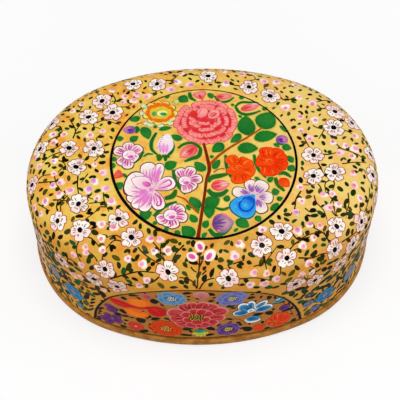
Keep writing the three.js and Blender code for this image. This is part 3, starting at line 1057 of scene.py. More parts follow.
def paint_blossoms(centres):
    """White five-petalled blossoms: brown outlines, two-lobed cream petals, dark strokes, black hearts."""
    count = len(centres)
    reach = BLOSSOM_REACH * vary(BLOSSOM_REACHES, (count, 1))
    start = vary(TURNS, (count, 1))
    angles = (start + (spokes(PETALS) + vary(PETAL_JITTER, (count, PETALS)))).ravel()
    reaches = (reach * vary(PETAL_REACHES, (count, PETALS))).ravel()
    hearts = np.repeat(centres, PETALS, axis=0)
    petal_count = len(hearts)
    outline, petals, veins, cores = Brush(14), Brush(14, 2), Brush(8), Brush(10)
    brown = pick("#641C10 #7A2A1A #8C3A26", petal_count)
    cream = shaded(pick("#FFF8F0 #FFF2E8 #FFEAE2 #FBDEDA", petal_count), hearts)
    blush = shaded(pick("#FFE4DA #FAD0C8 #FFEEE2 #F8C4C0", petal_count), hearts)
    base = beside(hearts, angles, reaches * PETAL_FOOT)
    for lobe in (-1.0, 1.0):
        lean = angles + lobe * vary(LOBE_LEANS, petal_count)
        extent = reaches * vary(LOBE_REACHES, petal_count)
        widths = reaches * vary(LOBE_WIDTHS, petal_count)
        past = beside(hearts, lean, extent + BROWN_PAST)
        outline.stroke(base, past, widths + BROWN_WIDER, brown, PETAL, layer=1)
        petals.stroke(base, beside(hearts, lean, extent), widths, (cream, cream, blush), PETAL, layer=3)
    for offset, share in VEINS:
        drawn = chance.uniform(0, 1, petal_count) < share
        drawn_count = drawn.sum()
        lean = angles[drawn] + offset + vary(VEIN_JITTER, drawn_count)
        inner = reaches[drawn] * vary(VEIN_FEET, drawn_count)
        outer = reaches[drawn] * vary(VEIN_TIPS, drawn_count)
        near, far = beside(hearts[drawn], lean, inner), beside(hearts[drawn], lean, outer)
        veins.stroke(near, far, VEIN_WIDTH, pick("#30120E #4A201C #6A3A38", drawn_count), SPINDLE, layer=5)
    turn = vary(TURNS, count)
    half = vary(CORE_HALVES, count)
    cores.dab(centres, turn, half, vary(CORE_WIDTHS, count), tones("#0C0808"), layer=7)
    outline.build("blossom_outlines", tempera("brown_outline", 0.1))
    petals.build("blossom_petals", tempera("shell_white", 0.03))
    veins.build("blossom_petal_strokes", tempera("brown_stroke", 0.1))
    cores.build("blossom_hearts", tempera("lamp_black", 0.1))


# Buds: the same, as shares of half the width, and a dab's width as a share of its half length
BUD_SIZES, BUD_JITTER = (0.76, 1.14), (-0.35, 0.35)
DAB_AWAY, DAB_REACHES, MIDDLE_REACH, DAB_FULLNESS = (0.24, 0.36), (0.58, 0.8), 0.62, 1.8
HEART_AWAY, HEART_REACHES, HEART_FULLNESS = (0.1, 0.38), (0.46, 0.66), 1.7


def paint_buds(centres):
    """Fluffy white buds: three soft-edged dabs, a white middle on them and a pink heart to one side."""
    count = len(centres)
    half = BUD_WIDTH / 2 * vary(BUD_SIZES, count)
    dabs, hearts = Brush(12, 2), Brush(12, 2)
    white = shaded(pick("#FFF4E8 #FDEAE2 #FBDFDE #FAD8DE", count), centres)
    soft = pick("#F0B868 #F2B070 #ECB060", count)
    start = vary(TURNS, count)
    for order, spoke in enumerate(spokes(3)):
        lean = start + spoke + vary(BUD_JITTER, count)
        middle = beside(centres, lean, half * vary(DAB_AWAY, count))
        reach = half * vary(DAB_REACHES, count)
        dabs.dab(middle, lean, reach, reach * DAB_FULLNESS, (white, white, soft), layer=1 + order)
    reach = half * MIDDLE_REACH
    dabs.dab(centres, start, reach, reach * DAB_FULLNESS, white, layer=5)
    away = vary(TURNS, count)
    middle = beside(centres, away, half * vary(HEART_AWAY, count))
    turn = vary(TURNS, count)
    reach = half * vary(HEART_REACHES, count)
    deep = pick("#E874AC #D03C88 #E45C54 #B878D0 #F08CB8 #E0707C #D860A8", count)
    pale = pick("#F8B8D0 #F2ACD0 #F8BCB8", count)
    hearts.dab(middle, turn, reach, reach * HEART_FULLNESS, (pale, deep, pale), OVAL, layer=7)
    dabs.build("bud_dabs", tempera("shell_white_bud", 0.04))
    hearts.build("bud_hearts", tempera("pink_lake", 0.08))


# Leaves round the sprig under the medallion and beside the lunette: base, tip, width in millimetres
FRONT_LEAVES = [
    (182.6, 262.4, 187.6, 268, 1.8), (181.6, 271.6, 188, 276.4, 1.8), (178.6, 280.4, 184.6, 284.6, 2),
    (169.4, 287.8, 178.6, 287.4, 1.6), (183.4, 285, 188.6, 289, 1.8), (201.6, 260.4, 204, 255, 1.7),
    (203, 270.6, 206.4, 266, 1.6), (203, 282, 206.6, 274, 2.3), (210.4, 278, 214.4, 267.4, 1.9),
    (217.4, 260, 224.6, 260.4, 2.4), (219.6, 253.6, 222.4, 248.6, 1.6), (211, 248.4, 213.6, 242.6, 1.6),
    (173.6, 259.6, 181.6, 255, 2.4), (181.6, 249.4, 186.6, 249.8, 1.6), (179, 245.6, 181, 241.6, 1.5),
    (186.6, 244.6, 190.6, 240.4, 1.9), (173.4, 252.6, 175, 245, 2.2), (166, 244.6, 169.6, 238.6, 1.7),
    (158.6, 255.4, 161.6, 259.6, 1.7), (150.6, 265.6, 155.6, 262.4, 1.8), (236.4, 264.6, 242.6, 268.6, 1.9),
    (227.4, 259.4, 229.6, 264, 1.6), (232.4, 246.6, 231.6, 240.4, 1.6), (243.6, 252.4, 246.6, 248.4, 1.7),
    (246.4, 261.6, 252, 264, 1.9), (243, 260, 244.4, 254.4, 1.5), (221, 288.6, 226, 287, 1.7),
    (208.6, 286.6, 213.4, 282.6, 2), (193.6, 286.6, 195.4, 279, 1.4), (91, 300.6, 96, 298.6, 1.5),
    (90, 303.6, 96, 302, 1.5), (89, 306.6, 94.6, 305.6, 1.5), (88.4, 310, 93.4, 309.4, 1.5),
    (83, 297.6, 87.4, 301, 1.5), (84, 303, 88, 306, 1.5), (82, 308.6, 87, 311, 1.5),
    (86, 313.4, 91, 315, 1.4), (71, 297.4, 73, 302.4, 1.4), (66.6, 292.6, 69.4, 297.6, 1.4),
    (84.6, 285.6, 89.4, 288.6, 1.8), (86, 289.6, 91, 292.4, 1.8), (81, 284, 85, 285.6, 1.5),
    (62, 282, 64.6, 287.4, 1.4), (76, 303, 77.6, 308.6, 1.4), (303.4, 298, 294.6, 299.6, 1.8),
    (306.6, 296.6, 312, 292.4, 1.9), (317, 291, 319.4, 286, 1.7), (322.4, 290.4, 325, 285.6, 1.7),
    (326, 301.6, 330, 298, 1.5), (329.6, 297, 334, 292, 1.5), (303.4, 311.6, 308, 306.8, 1.4),
    (306, 316, 312, 311.6, 1.4), (336, 289, 341, 284, 1.5), (331, 284, 335.4, 279.4, 1.5),
    (341, 276.4, 344, 271.6, 1.4), (318, 306.6, 322.6, 302.6, 1.4),
]
SPRIG_STEMS = [
    [(199.8, 252.4), (199.3, 266.4), (198, 277), (197.1, 288.6)],
    [(196.8, 288.4), (192.9, 281.8), (186, 278.4), (179.3, 277.4)],
    [(199.3, 289.3), (202.9, 283.6), (207.1, 280), (214.4, 278)], [(191, 267), (193, 270), (196.6, 272.2)],
    [(202.2, 274.6), (206.6, 270.4)], [(202.4, 260.6), (199.6, 267)], [(195.2, 260.6), (198.6, 264.6)],
]
# Drop-shaped buds at the sprig's tips: foot, tip and width, then the heart's
SPRIG_BUDS = [
    (200.6, 252.4, 199, 240.8, 4.5), (197.4, 260, 186.8, 253.6, 4.2), (205.4, 261, 214.4, 249.6, 4.6),
]
SPRIG_HEARTS = [
    (201.8, 250.4, 198.2, 243.4, 2.2), (195.8, 258.4, 187.8, 254.6, 2.3), (206.4, 260.2, 211.8, 252.6, 2.2),
]

FRONT_GREENS = "#1E2C06 #2C3208 #243E0C #141606 #444A10"
LEAF_GREENS = FRONT_GREENS + " #20260A #2A2E0C #1C380A #1A5420 #56541A #12140A"
# Leaves: the ranges that chance picks from, in millimetres or as shares
TWIG_WIDTHS, SPROUT_LEANS = (0.85, 1.2), (0.6, 1.4)
SPROUT_REACHES, SPROUT_WIDTHS, SPROUT_FOOT = (2.5, 3.5), (1.4, 2.1), 0.2
LEAF_HALVES, LEAF_WIDTHS, LEAF_BENDS = (1.1, 1.75), (0.95, 1.35), (-0.1, 0.1)
WALL_LEAF, HIDDEN_LEAF = 1.3, 1.15
NEAR_TO_FAR_LEAF = (1.25, 1.0, 0.75)  # the seen leaves' sizes at the near side, the middle and the far side
TWIN_SHARE, TWIN_TURNS, TWIN_WIDTHS = 0.12, (0.9, 1.5), (1.1, 1.6)
TWIN_FOOT, TWIN_REACH = 1.1, 1.7


def paint_twig(path, lines, leaves):
    """A dark twig with leaves on both sides. Returns the points that it takes up."""
    colour = pick("#4A1E0A #301206 #3A2408 #241406", 1)[0]
    lines.line(path, TWIG_WIDTH * vary(TWIG_WIDTHS), colour, (1.0, 0.6))
    path = settle(path)[0]
    places = np.arange(2, len(path) - 1, 3)
    if not len(places):
        return path[:0]
    roots, leads = path[places], unit(np.gradient(path, axis=0))[places]
    across = np.cross(settle(roots)[1], leads)
    side = np.where(np.arange(len(places)) % 2, 1.0, -1.0)[:, None] * chance.choice([-1.0, 1.0])
    sprout = unit(leads + across * side * vary(SPROUT_LEANS, (len(places), 1)))
    tips = settle(roots + sprout * vary(SPROUT_REACHES, (len(places), 1)))[0]
    green = pick(LEAF_GREENS, len(places))
    feet = settle(roots + sprout * SPROUT_FOOT)[0]
    leaves.stroke(feet, tips, vary(SPROUT_WIDTHS, len(places)), green, OVAL, 0.06)
    return np.concatenate([path, tips])


def paint_gap_leaves(leaves, taken, clear):
    """Single and paired leaves in the field's gaps, larger on the walls and towards the viewer."""
    candidates = random_ground(LEAF_TRIES)
    places = scattered(candidates[in_field(candidates, LEAF_MARGINS)], LEAF_SPACING, taken, clear)
    count = len(places)
    turn = vary(TURNS, count)
    half = vary(LEAF_HALVES, count)
    green = pick(LEAF_GREENS, count)
    half = half * np.where(places[:, 2] < SHOULDER_START, WALL_LEAF, 1.0)
    seen_size = np.interp(places[:, 1], (-HALF_WIDTH, 0, HALF_WIDTH / 2), NEAR_TO_FAR_LEAF)
    half = half * np.where(in_view(places), seen_size, HIDDEN_LEAF)
    width = half * vary(LEAF_WIDTHS, count)
    leaves.dab(places, turn, half, width, green, OVAL, vary(LEAF_BENDS, count))
    twin = chance.uniform(0, 1, count) < TWIN_SHARE
    second = turn[twin] + vary(TWIN_TURNS, twin.sum())
    feet = beside(places[twin], turn[twin], half[twin] * TWIN_FOOT)
    tips = beside(feet, second + math.pi, half[twin] * TWIN_REACH)
    leaves.stroke(feet, tips, vary(TWIN_WIDTHS, twin.sum()), green[twin], LEAF)


def paint_twigs(twigs, taken, clear):
    """All the field's twigs and leaves, with the sprig's stems."""
    lines, leaves = Liner(TWIG_STEP), Brush(10)
    spots = [paint_twig(path, lines, leaves) for path in twigs]
    base, tip, width = placed(FRONT_LEAVES)
    leaves.stroke(base, tip, width, pick(FRONT_GREENS, len(base)), LEAF, 0.05)
    spots = np.concatenate([*spots, base, (base + tip) / 2, tip])
    clear = np.concatenate([clear, np.full(len(spots), SPOT_CLEARANCE)])
    paint_gap_leaves(leaves, np.concatenate([taken, spots]), clear)
    for path in SPRIG_STEMS:
        lines.line(cast(path), TWIG_WIDTH, linear("#3A1408"), (1.1, 0.8), layer=1)
    lines.build("field_twigs", tempera("dark_brown_line", 0.1))
    leaves.build("field_leaves", tempera("leaf_green", 0.3))


def paint_sprig():
    """The three white drop-shaped buds below the medallion, each with a magenta heart."""
    drops = Brush(18, 2)
    drops.draw(SPRIG_BUDS, "#FBE0DC #FFFAF0 #F6DCA8", layer=4)
    drops.draw(SPRIG_HEARTS, "#C82A8C #E060A4 #F094C4", layer=6)
    drops.build("sprig_buds", tempera("shell_white_and_lake", 0.06))


# Middle pixel, reach in millimetres, number of petals, and colours of base, tip and edge
END_FLOWERS = [
    ((73.6, 291.6), 5.4, 8, "#145A8C #2E88BC #5CA4C4"),
    ((80.4, 304.8), 2.2, 5, "#14606C #2C8C9C #58A8B0"),
    ((54.6, 270.4), 4.2, 7, "#4C5C6C #8494A0 #B0A8A8"),
    ((325, 294.6), 5.4, 8, "#124E84 #2A80B4 #5C9CBC"),
    ((308.4, 303.4), 2.6, 5, "#34407C #5C7CA0 #8CA0B0"),
    ((314.6, 308), 2.4, 5, "#3C3C84 #5C64B0 #98A0C8"),
    ((349.4, 272.6), 4.8, 7, "#44547C #6C8CAC #98A8BC"),
    ((309.4, 295), 2.2, 5, "#14242C #30505C #58747C"),
]
END_HEART_HALF, END_HEART_WIDTH = 0.24, 0.42  # shares of the reach
WALL_PETAL_FOOT, WALL_PETAL_FULLNESS = 0.1, 1.3
WALL_JITTER, WALL_REACHES = (-0.08, 0.08), (0.94, 1.05)
WALL_PAST, WALL_WIDER = 0.2, 0.4


def wall_petals(brush, centre, half, share, count, colours, outline, layer, start=0.0):
    """Pointed petals with outlines round a centre, which reach to a share of an ellipse's half sizes."""
    angle = start + spokes(count) + vary(WALL_JITTER, count)
    reach = np.hypot(half[0] * np.cos(angle), half[1] * np.sin(angle)) * vary(WALL_REACHES, count)
    middle = np.repeat(centre, count, 0)
    width = math.pi * (half[0] + half[1]) * share / count * WALL_PETAL_FULLNESS
    order = layer + 2 * (np.arange(count) % 2)
    base = beside(middle, angle, reach * WALL_PETAL_FOOT)
    past = beside(middle, angle, reach * share + WALL_PAST)
    brush.stroke(base, past, width + WALL_WIDER, tones(outline), LEAF, 0.0, order)
    brush.stroke(base, beside(middle, angle, reach * share), width, tones(colours), LEAF, 0.0, order + 1)


def paint_end_flowers():
    """Small blue flowers with a coral heart beside each lunette."""
    petals = Brush(14, 2)
    heart = tones("#B04858 #C86470 #D89080")
    for middle, reach, count, colours in END_FLOWERS:
        centre = cast([middle])
        wall_petals(petals, centre, (reach, reach), 1.0, count, colours, "#2A2C18", layer=4)
        petals.dab(centre, 0.0, reach * END_HEART_HALF, reach * END_HEART_WIDTH, heart, layer=9)
    petals.build("front_end_flowers", tempera("azurite", 0.16))


def paint_field():
    """The whole field outside the medallion and the lunettes."""
    blossoms, buds, twigs = field_plan()
    paint_twigs(twigs, *cleared(blossoms, buds, LEAF_CLEARANCES))
    paint_blossoms(blossoms)
    paint_buds(buds)
    paint_sprig()
    paint_end_flowers()


# The medallion on the lid's top: a tree of different flowers in a black ring. Rows hold the pixels of a
# stroke's base and tip, and its width in millimetres.
MEDALLION_LEAVES = [
    (178, 97, 188.5, 102, 4.6), (165, 98.5, 170.5, 95.5, 1.6), (140.8, 117.5, 128.3, 119.8, 3.2),
    (142, 126.5, 149, 140, 4.3), (158.2, 130.2, 172.6, 127.7, 2.3), (116.5, 139.6, 124.2, 138.2, 2.6),
    (130.2, 141.8, 138.6, 136.1, 3.2), (182.8, 139.6, 170.9, 134.7, 3.2), (153.5, 128, 157.5, 126, 1.6),
    (111.5, 159.5, 117, 159, 2.6), (111, 166, 116, 165.6, 2.8), (164.6, 169, 177.5, 162, 4.4),
    (206, 171.1, 194.4, 161.3, 4), (116.8, 182.5, 121, 190, 3.8), (139.3, 216.8, 152.6, 212.5, 5),
    (200.4, 209, 189.8, 196.4, 4.8), (186.2, 208.5, 191, 206.5, 2.8), (197.5, 222.4, 189.8, 214, 3),
    (195.4, 236.4, 181.4, 225.9, 5.2), (163.5, 229, 169, 230.5, 2.6), (174.4, 230.8, 180.7, 235.8, 2.2),
    (152.5, 222.5, 157.5, 224, 1.8), (205, 207, 220.5, 198, 5.6), (207.5, 203, 209, 219.5, 4.4),
    (204, 228.5, 208.3, 220, 2.8), (202, 238, 207.5, 232.3, 1.8), (213.3, 169.7, 220.4, 159.2, 3),
    (226, 202, 228.5, 195, 2.7), (254.5, 177, 260.5, 181.5, 1.6), (268, 182.5, 273.5, 176.5, 2.3),
    (271.5, 192.7, 280, 191.5, 3.3), (277, 200.5, 283, 197.3, 2.2), (271.5, 205, 278, 210, 4.4),
    (255, 216, 261, 222, 2.6), (235.1, 220.3, 249.8, 227.3, 4.6), (234.3, 229, 237.5, 231.5, 2.2),
    (287.5, 161, 294, 157.5, 3.8), (287.5, 166, 295, 171.5, 3.4), (210, 158, 214, 155.6, 1.6),
    (208, 97, 214, 94.5, 3.4), (239.5, 99, 244, 96.5, 2), (231, 105.5, 234.5, 104.4, 1.5),
    (239, 117.5, 242, 115.5, 1.8), (249.2, 136.6, 245.8, 114.6, 7.4), (262, 130, 272.5, 111.3, 8.6),
    (240.7, 133.3, 230.2, 143.2, 3.4), (253.3, 139.6, 278.4, 134, 5.6), (279.5, 125.5, 287, 133, 1.8),
    (281.5, 147, 292, 148.5, 3.6), (273.5, 143.5, 280, 147.5, 1.8), (236.5, 149, 259.3, 148.6, 5.6),
    (223.2, 142.5, 211.6, 152.5, 4.6), (262.5, 110.5, 267.5, 107.3, 2), (199, 212, 195.5, 207, 2),
]
# Long narrow leaves and the sepals that hold buds: pixels of the path, then the width
MEDALLION_BANDS = [
    ([(143.3, 151.5), (140, 157.5), (133, 163), (124.6, 169.7)], 1.5),
    ([(156.3, 132.6), (151.3, 143), (151.9, 149.5), (157.5, 155)], 1.6),
    ([(171.6, 140.4), (173, 147.4), (170.2, 153.5), (165.3, 157.5)], 1.6),
    ([(157.5, 155), (159.6, 157.6), (158.2, 161)], 2.4), ([(165.3, 156), (165.6, 161.3)], 1.6),
    ([(162, 156), (169.8, 157)], 1.8), ([(143.5, 156.8), (147.7, 154), (153.3, 154.4)], 1.0),
    ([(177.9, 148.4), (183.5, 144.4), (191.2, 143), (196.8, 145), (201, 150.2), (198.4, 156.3)], 1.5),
    ([(200.6, 149), (198.6, 156), (191.2, 158.8), (184.4, 161.6)], 2.0),
    ([(189.5, 92.3), (191, 98), (196, 101)], 1.8),
    ([(214.5, 96), (220, 101.6), (228, 101.3), (234, 97.3)], 1.4),
    ([(235.1, 106.5), (240.7, 102.6), (249.1, 102.4), (258.5, 102.8)], 1.3),
    ([(235.4, 106.5), (239.3, 112.3), (245.6, 114.6), (252.6, 113.6), (260.6, 110.8)], 1.6),
    ([(207.7, 182), (211, 178), (221, 175.6), (228.5, 173.8)], 2.3),
    ([(207.6, 189.6), (213, 194.3), (221, 194.4), (228, 189.6)], 2.5),
    ([(225.5, 155), (226, 163), (229, 173), (235, 182.8)], 1.5),
    ([(254, 154.5), (255.6, 163), (259, 170), (266, 178)], 1.6),
    ([(277.9, 174), (284.2, 173), (291, 177.3)], 1.9),
    ([(275.1, 177.6), (277.2, 183), (284.4, 191.3)], 2.1),
    ([(173, 169.7), (175.8, 181.7), (185.2, 194.6)], 1.7),
    ([(164.6, 198.7), (173, 195.7), (176, 189.6)], 2.4),
    ([(153.6, 216.4), (165.3, 206), (176.9, 201.8)], 1.9),
    ([(209, 229), (215.4, 235.2), (223.2, 233), (231.4, 227)], 2.2),
    ([(214.3, 207.4), (222.5, 209.6), (231.3, 206.7)], 1.3),
    ([(135.8, 126.5), (138, 130), (135.4, 133)], 1.9),
    ([(283.5, 144.5), (279.5, 143.4), (276.6, 140)], 1.6), ([(122.6, 174), (127.3, 177.6)], 1.5),
]
STEM_BANDS = [
    (
        [
            (203.6, 143), (207.4, 158), (209.4, 169), (206.6, 180), (204.6, 195), (202.6, 208), (200.6, 221),
            (198, 238),
        ],
        (1.3, 1.5, 1.9, 1.6, 1.5, 1.7, 1.7, 2.3),
        "#84290C",
    ),
    (
        [(209.8, 165), (217.5, 156.8), (235, 144.4), (249, 136.4), (262.3, 127.8)],
        (1.6, 1.4, 1.3, 1.3, 1),
        "#B4560F",
    ),
    ([(213.6, 172.4), (218, 169.4), (224.6, 168.6)], (0.8, 0.6), "#B4560F"),
    ([(176.5, 196), (184, 198.6), (191, 206), (199, 213.4)], (0.7, 0.9, 1.1, 1.2), "#B4560F"),
    ([(136.5, 124.3), (145.6, 121.6)], (0.8, 0.6), "#C8701C"),
]
RING_WIDTHS = (1.1, 0.75, 0.45, 0.7, 1.3, 1.5, 1.2, 1.2, 1.1)  # round the ring from its right side
RING_POINTS = 97
LEAF_FULLNESS = 1.18  # a loaded brush leaves the leaf wider than its midline rows say
BAND_FULLNESS = 1.3
LIME_PAST, LIME_WIDER, BAND_LIME_WIDER = 0.3, 0.7, 0.5
EMERALDS = ("#0F6E2C #14782E #0C6630", "#348C34 #2A882C", "#1C7026 #12662A")


def paint_medallion_leaves(green):
    """Emerald leaves, each on a lime edge."""
    base, tip, width = placed(MEDALLION_LEAVES)
    width = width * LEAF_FULLNESS
    leaves, halo = Brush(16, 2), Brush(16)
    past = unit(tip - base) * LIME_PAST
    lime = tones("#C9C558 #C9C558 #D8C254")
    halo.stroke(settle(base - past)[0], settle(tip + past)[0], width + LIME_WIDER, lime, LEAF, 0.05)
    leaves.stroke(base, tip, width, tuple(pick(e, len(base)) for e in EMERALDS), LEAF, 0.05, 1)
    bands, edges = Liner(0.8), Liner(0.8)
    for path, band_width in MEDALLION_BANDS:
        points = cast(path)
        full = band_width * BAND_FULLNESS
        edges.line(points, full + BAND_LIME_WIDER, linear("#C9C558"), (0.7, 0.5), swell_share=0.35)
        band_green = pick("#22702A #2C6E20 #1A6A2C", 1)[0]
        bands.line(points, full, band_green, (0.6, 0.4), layer=4, swell_share=0.4)
    halo.build("medallion_leaf_edges", green)
    leaves.build("medallion_leaves", green)
    edges.build("medallion_sepal_edges", green)
    bands.build("medallion_sepals", green)


def paint_medallion_frame():
    """The black ring, thicker on its near side, and the red-brown stem with its branches."""
    ring_line, stem = Liner(1.0), Liner(0.8)
    angle = np.linspace(0, FULL_TURN, RING_POINTS)
    x = MEDALLION_CENTRE[0] + MEDALLION_RADIUS * np.cos(angle)
    y = MEDALLION_CENTRE[1] + MEDALLION_RADIUS * np.sin(angle)
    ring_line.line(np.stack([x, y, np.full_like(x, TOP)], -1), RING_WIDTHS, linear("#100A08"), layer=8)
    ring_line.build("medallion_ring", tempera("lamp_black_ring", 0.1))
    for path, widths, colour in STEM_BANDS:
        stem.line(cast(path), widths, linear(colour), (1.0, 0.8), layer=3)
    stem.build("medallion_stem", tempera("burnt_sienna", 0.5))


# The great rose at the top, from its outer petals inwards
CARNATION_OUTER = [
    (203.3, 131.3, 200.4, 144.7, 7.5), (210, 131.3, 215.8, 143.4, 6.4), (216.7, 129.7, 230, 138.8, 6.8),
    (221.7, 122.2, 237.7, 123, 8), (220, 117.2, 235, 111.8, 6), (211.7, 113, 225, 103.2, 6.8),
    (207.5, 113, 212.5, 100.5, 6.4), (203.3, 113, 197.5, 101.2, 7.4), (193.3, 116.3, 180, 108.8, 7.6),
    (218, 126, 234.6, 131, 6.4), (190, 123, 173.2, 121.6, 7.4), (194.2, 127.2, 177, 131, 5.6),
    (196.7, 128.8, 187, 140.5, 7.6),
]
CARNATION_MIDDLE = [
    (206.7, 126.3, 212.5, 137, 7), (200.8, 125.5, 194.2, 137.6, 7.6), (212.5, 124.7, 224.2, 132.2, 5.6),
    (216.7, 121.3, 229.3, 120.9, 6.2), (211.7, 118, 225, 108.4, 6.2), (205.8, 114.7, 207.5, 104.3, 7.6),
    (197.5, 117.2, 185.4, 110.5, 6.6), (195, 122.2, 180.8, 123, 6.8),
]
CARNATION_INNER = [
    (200.8, 117.2, 192.5, 126.8, 6.2), (209.2, 118, 218.3, 126.3, 6.2), (205, 122.2, 206.7, 132, 7.4),
    (205.8, 115.5, 213.3, 109.3, 5), (201.7, 117.2, 190.8, 109.7, 6),
]
CARNATION_HEART = [
    (200.6, 115.4, 190.6, 121.4, 5.2), (204.4, 117.4, 203.8, 125.6, 5.4), (210.8, 116.4, 218, 122.2, 5.2),
]
CARNATION_BED = [(180, 118.6, 232, 121.6, 16.4)]
CARNATION_FOLDS = [(198.3, 118, 205.8, 108, 5), (209, 118.6, 218.6, 110.6, 5)]
CARNATION_DEPTHS = [
    (196.6, 117.4, 192, 110.6, 4.2), (211, 117.4, 216.4, 112.4, 2.8), (201.6, 120, 205.8, 121, 2.2),
]
CRIMP_PAST, CRIMP_WIDER = 0.16, 0.34
DEPTH_REACH, DEPTH_WIDTH = 0.66, 0.8  # shares of the petal


def crimped(rose, crimps, rows, layer):
    """Petals with a red depth, a wide light rim, and fine teeth between the two."""
    base, tip, width = placed(rows)
    along = tip - base
    order = layer + 3 * (np.arange(len(rows)) % 2)
    grown, deep = settle(tip + unit(along) * CRIMP_PAST)[0], settle(base + along * DEPTH_REACH)[0]
    rose.stroke(base, grown, width + CRIMP_WIDER, tones("#D83844 #DC4450 #DC4450"), FAN, 0.0, order)
    rose.stroke(base, tip, width, tones("#EC5458 #FF9E96 #F88880"), FAN, 0.0, order + 1)
    rose.stroke(base, deep, width * DEPTH_WIDTH, tones("#EE5058 #DA1C2A #E83C46"), FAN, 0.0, order + 2)
    teeth = (-0.34, -0.23, -0.12, 0.0, 0.12, 0.23, 0.34)
    crimps.streaks(rows, teeth, (0.58, 0.76), "#D41C2C #E43440 #FFA49C #F46468", 0.36, layer + 6)
    crimps.streaks(rows, (-0.3, -0.05, 0.18), (0.76, 0.98), "#E03844 #FFB8B0 #E84C54", 0.3, layer + 6)


def paint_carnation(material):
    """The great rose at the top: rings of crimped petals round two small folded hearts."""
    rose, crimps = Brush(16, 2), Brush(8)
    rose.draw(CARNATION_BED, "#E8404A", BLUNT)
    crimped(rose, crimps, CARNATION_OUTER, layer=1)
    crimped(rose, crimps, CARNATION_MIDDLE, layer=8)
    crimped(rose, crimps, CARNATION_INNER, layer=15)
    crimped(rose, crimps, CARNATION_HEART, layer=18)
    rose.outlined(CARNATION_FOLDS, "#F4767A #FFA8A0 #FC9C96", "#E04450", OVAL, layer=25, margin=0.3)
    rose.draw(CARNATION_DEPTHS, "#D81C26 #EC3A34 #E43C40", bend=0.1, layer=28)
    crimps.streaks(CARNATION_FOLDS, (-0.2, 0.0, 0.2), (0.2, 0.8), "#E8505A #FFC4BC", 0.3, layer=29)
    rose.build("medallion_carnation", material)
    crimps.build("medallion_carnation_crimps", material)


# The lotus: petals, free strokes, curled lines (path, width, colour, shares of the width at both ends), and
# the folded petal in front with its hollow
LOTUS_PETALS = [
    (152, 189, 147, 161.6, 7.4), (153.4, 189, 160.8, 162.6, 4.8), (151, 189, 126.4, 200.6, 5.6),
    (151.6, 190, 132.6, 208.4, 5.6), (152.4, 190, 142, 212.4, 5.4), (153.4, 189, 160.6, 210.6, 5.8),
    (153.4, 189.4, 175.4, 180.2, 7), (154, 188, 124, 182, 13),
]
LOTUS_STROKES = [
    (156.4, 184.5, 157, 163.6, 1), (157.8, 184, 161.4, 165, 1.9), (155.2, 184, 152.8, 167, 0.8),
    (149.6, 190.6, 131.6, 205, 1.9), (150.6, 192.2, 138, 209, 1.7), (148.6, 190.2, 129.4, 199.4, 1),
    (152, 193, 145, 209, 1), (147.8, 190.6, 136.4, 193, 3.4), (150.4, 183.6, 146.6, 173.6, 1.4),
    (146, 184, 133, 172.6, 0.8), (152, 185.4, 150.6, 168, 0.7),
]
LOTUS_HOOKS = [
    ([(155, 193.6), (160.4, 199.4), (160, 205.4), (157, 205.8), (157.6, 201.4)], 0.85, "#CC30A0", (0.5, 0.6)),
    ([(158, 188.6), (166, 187), (171.4, 183.6), (169.6, 180.2), (163, 182.8)], 0.9, "#D03AA4", (0.4, 0.6)),
    ([(159, 189.8), (168, 189)], 0.6, "#E070C0", (0.5, 0.4)),
]
LOTUS_FOOT = [(148.4, 190.8, 155.4, 188.4, 2.2)]
LOTUS_FOLD = [(152, 186.6, 130.6, 178.6, 6.8)]
LOTUS_HOLLOW = [(151.4, 186, 141.6, 182.6, 3)]


def paint_lotus(material):
    """The large pink and white lotus at the left."""
    lotus, streaks, hooks, fold = Brush(18, 2), Brush(12), Liner(0.6), Brush(16, 2)
    lotus.outlined(LOTUS_PETALS, "#E04CB2 #FFFCF0 #FFF4EA", "#5C1A34", layer=1, margin=0.42)
    offsets = (-0.28, -0.1, 0.12, 0.28)
    streaks.streaks(LOTUS_PETALS, offsets, (0.24, 0.74), "#E880C8 #D850B0 #F8C0E0", 0.55, layer=17)
    streaks.draw(LOTUS_STROKES, "#D02CA0 #F090D8 #F0A0DC", SPINDLE, bend=0.08, layer=18)
    for path, width, colour, ends in LOTUS_HOOKS:
        hooks.line(cast(path), width, linear(colour), ends, layer=18, swell_share=0.5)
    fold.draw(LOTUS_FOOT, "#D444A8 #F4B0DC #F0A8DC", LEAF, layer=16)
    fold.outlined(LOTUS_FOLD, "#E878C8 #FFFAF0 #FFF0EE", "#8C1C5C", LEAF, layer=18, margin=0.5)
    fold.draw(LOTUS_HOLLOW, "#C01C90 #F088D0 #E058B8", LEAF, layer=20)
    lotus.build("medallion_lotus_petals", material)
    streaks.build("medallion_lotus_streaks", material)
    hooks.build("medallion_lotus_hooks", material)
    fold.build("medallion_lotus_fold", material)


# Pixel of the middle, the widths of the disc and the petals in millimetres, and the petals' tips
SMALL_PINK_FLOWERS = [
    ((128.9, 155), 5.8, 5.2, [
        (128.4, 141.8), (114, 149), (141.8, 146.2), (118.6, 165.2), (127.4, 169.6), (137.6, 160),
    ]),
    ((184.6, 181), 5.4, 5, [(178.4, 168), (193.2, 166.6), (202.8, 178), (196, 189), (187.4, 193.4)]),
    ((170.2, 215.2), 6, 5.2, [
        (176.6, 203.2), (184.4, 206.4), (188.2, 218), (175, 228.8), (165, 226.6), (156.4, 221.4),
    ]),
]
PIXEL_SIZE = 0.43  # width of the photograph's pixel on the lid's top, in millimetres
CUP_WIDTH = 0.92  # share of the disc
# Strokes on the cupped petal: ends in shares of its reach and pixels below its middle, then the width
CUP_HEART = ((0.8, 1.4), (-0.3, 1.9), 2.0)
CUP_GLINT = ((-0.8, 1.6), (-0.1, -3.0), 0.9)


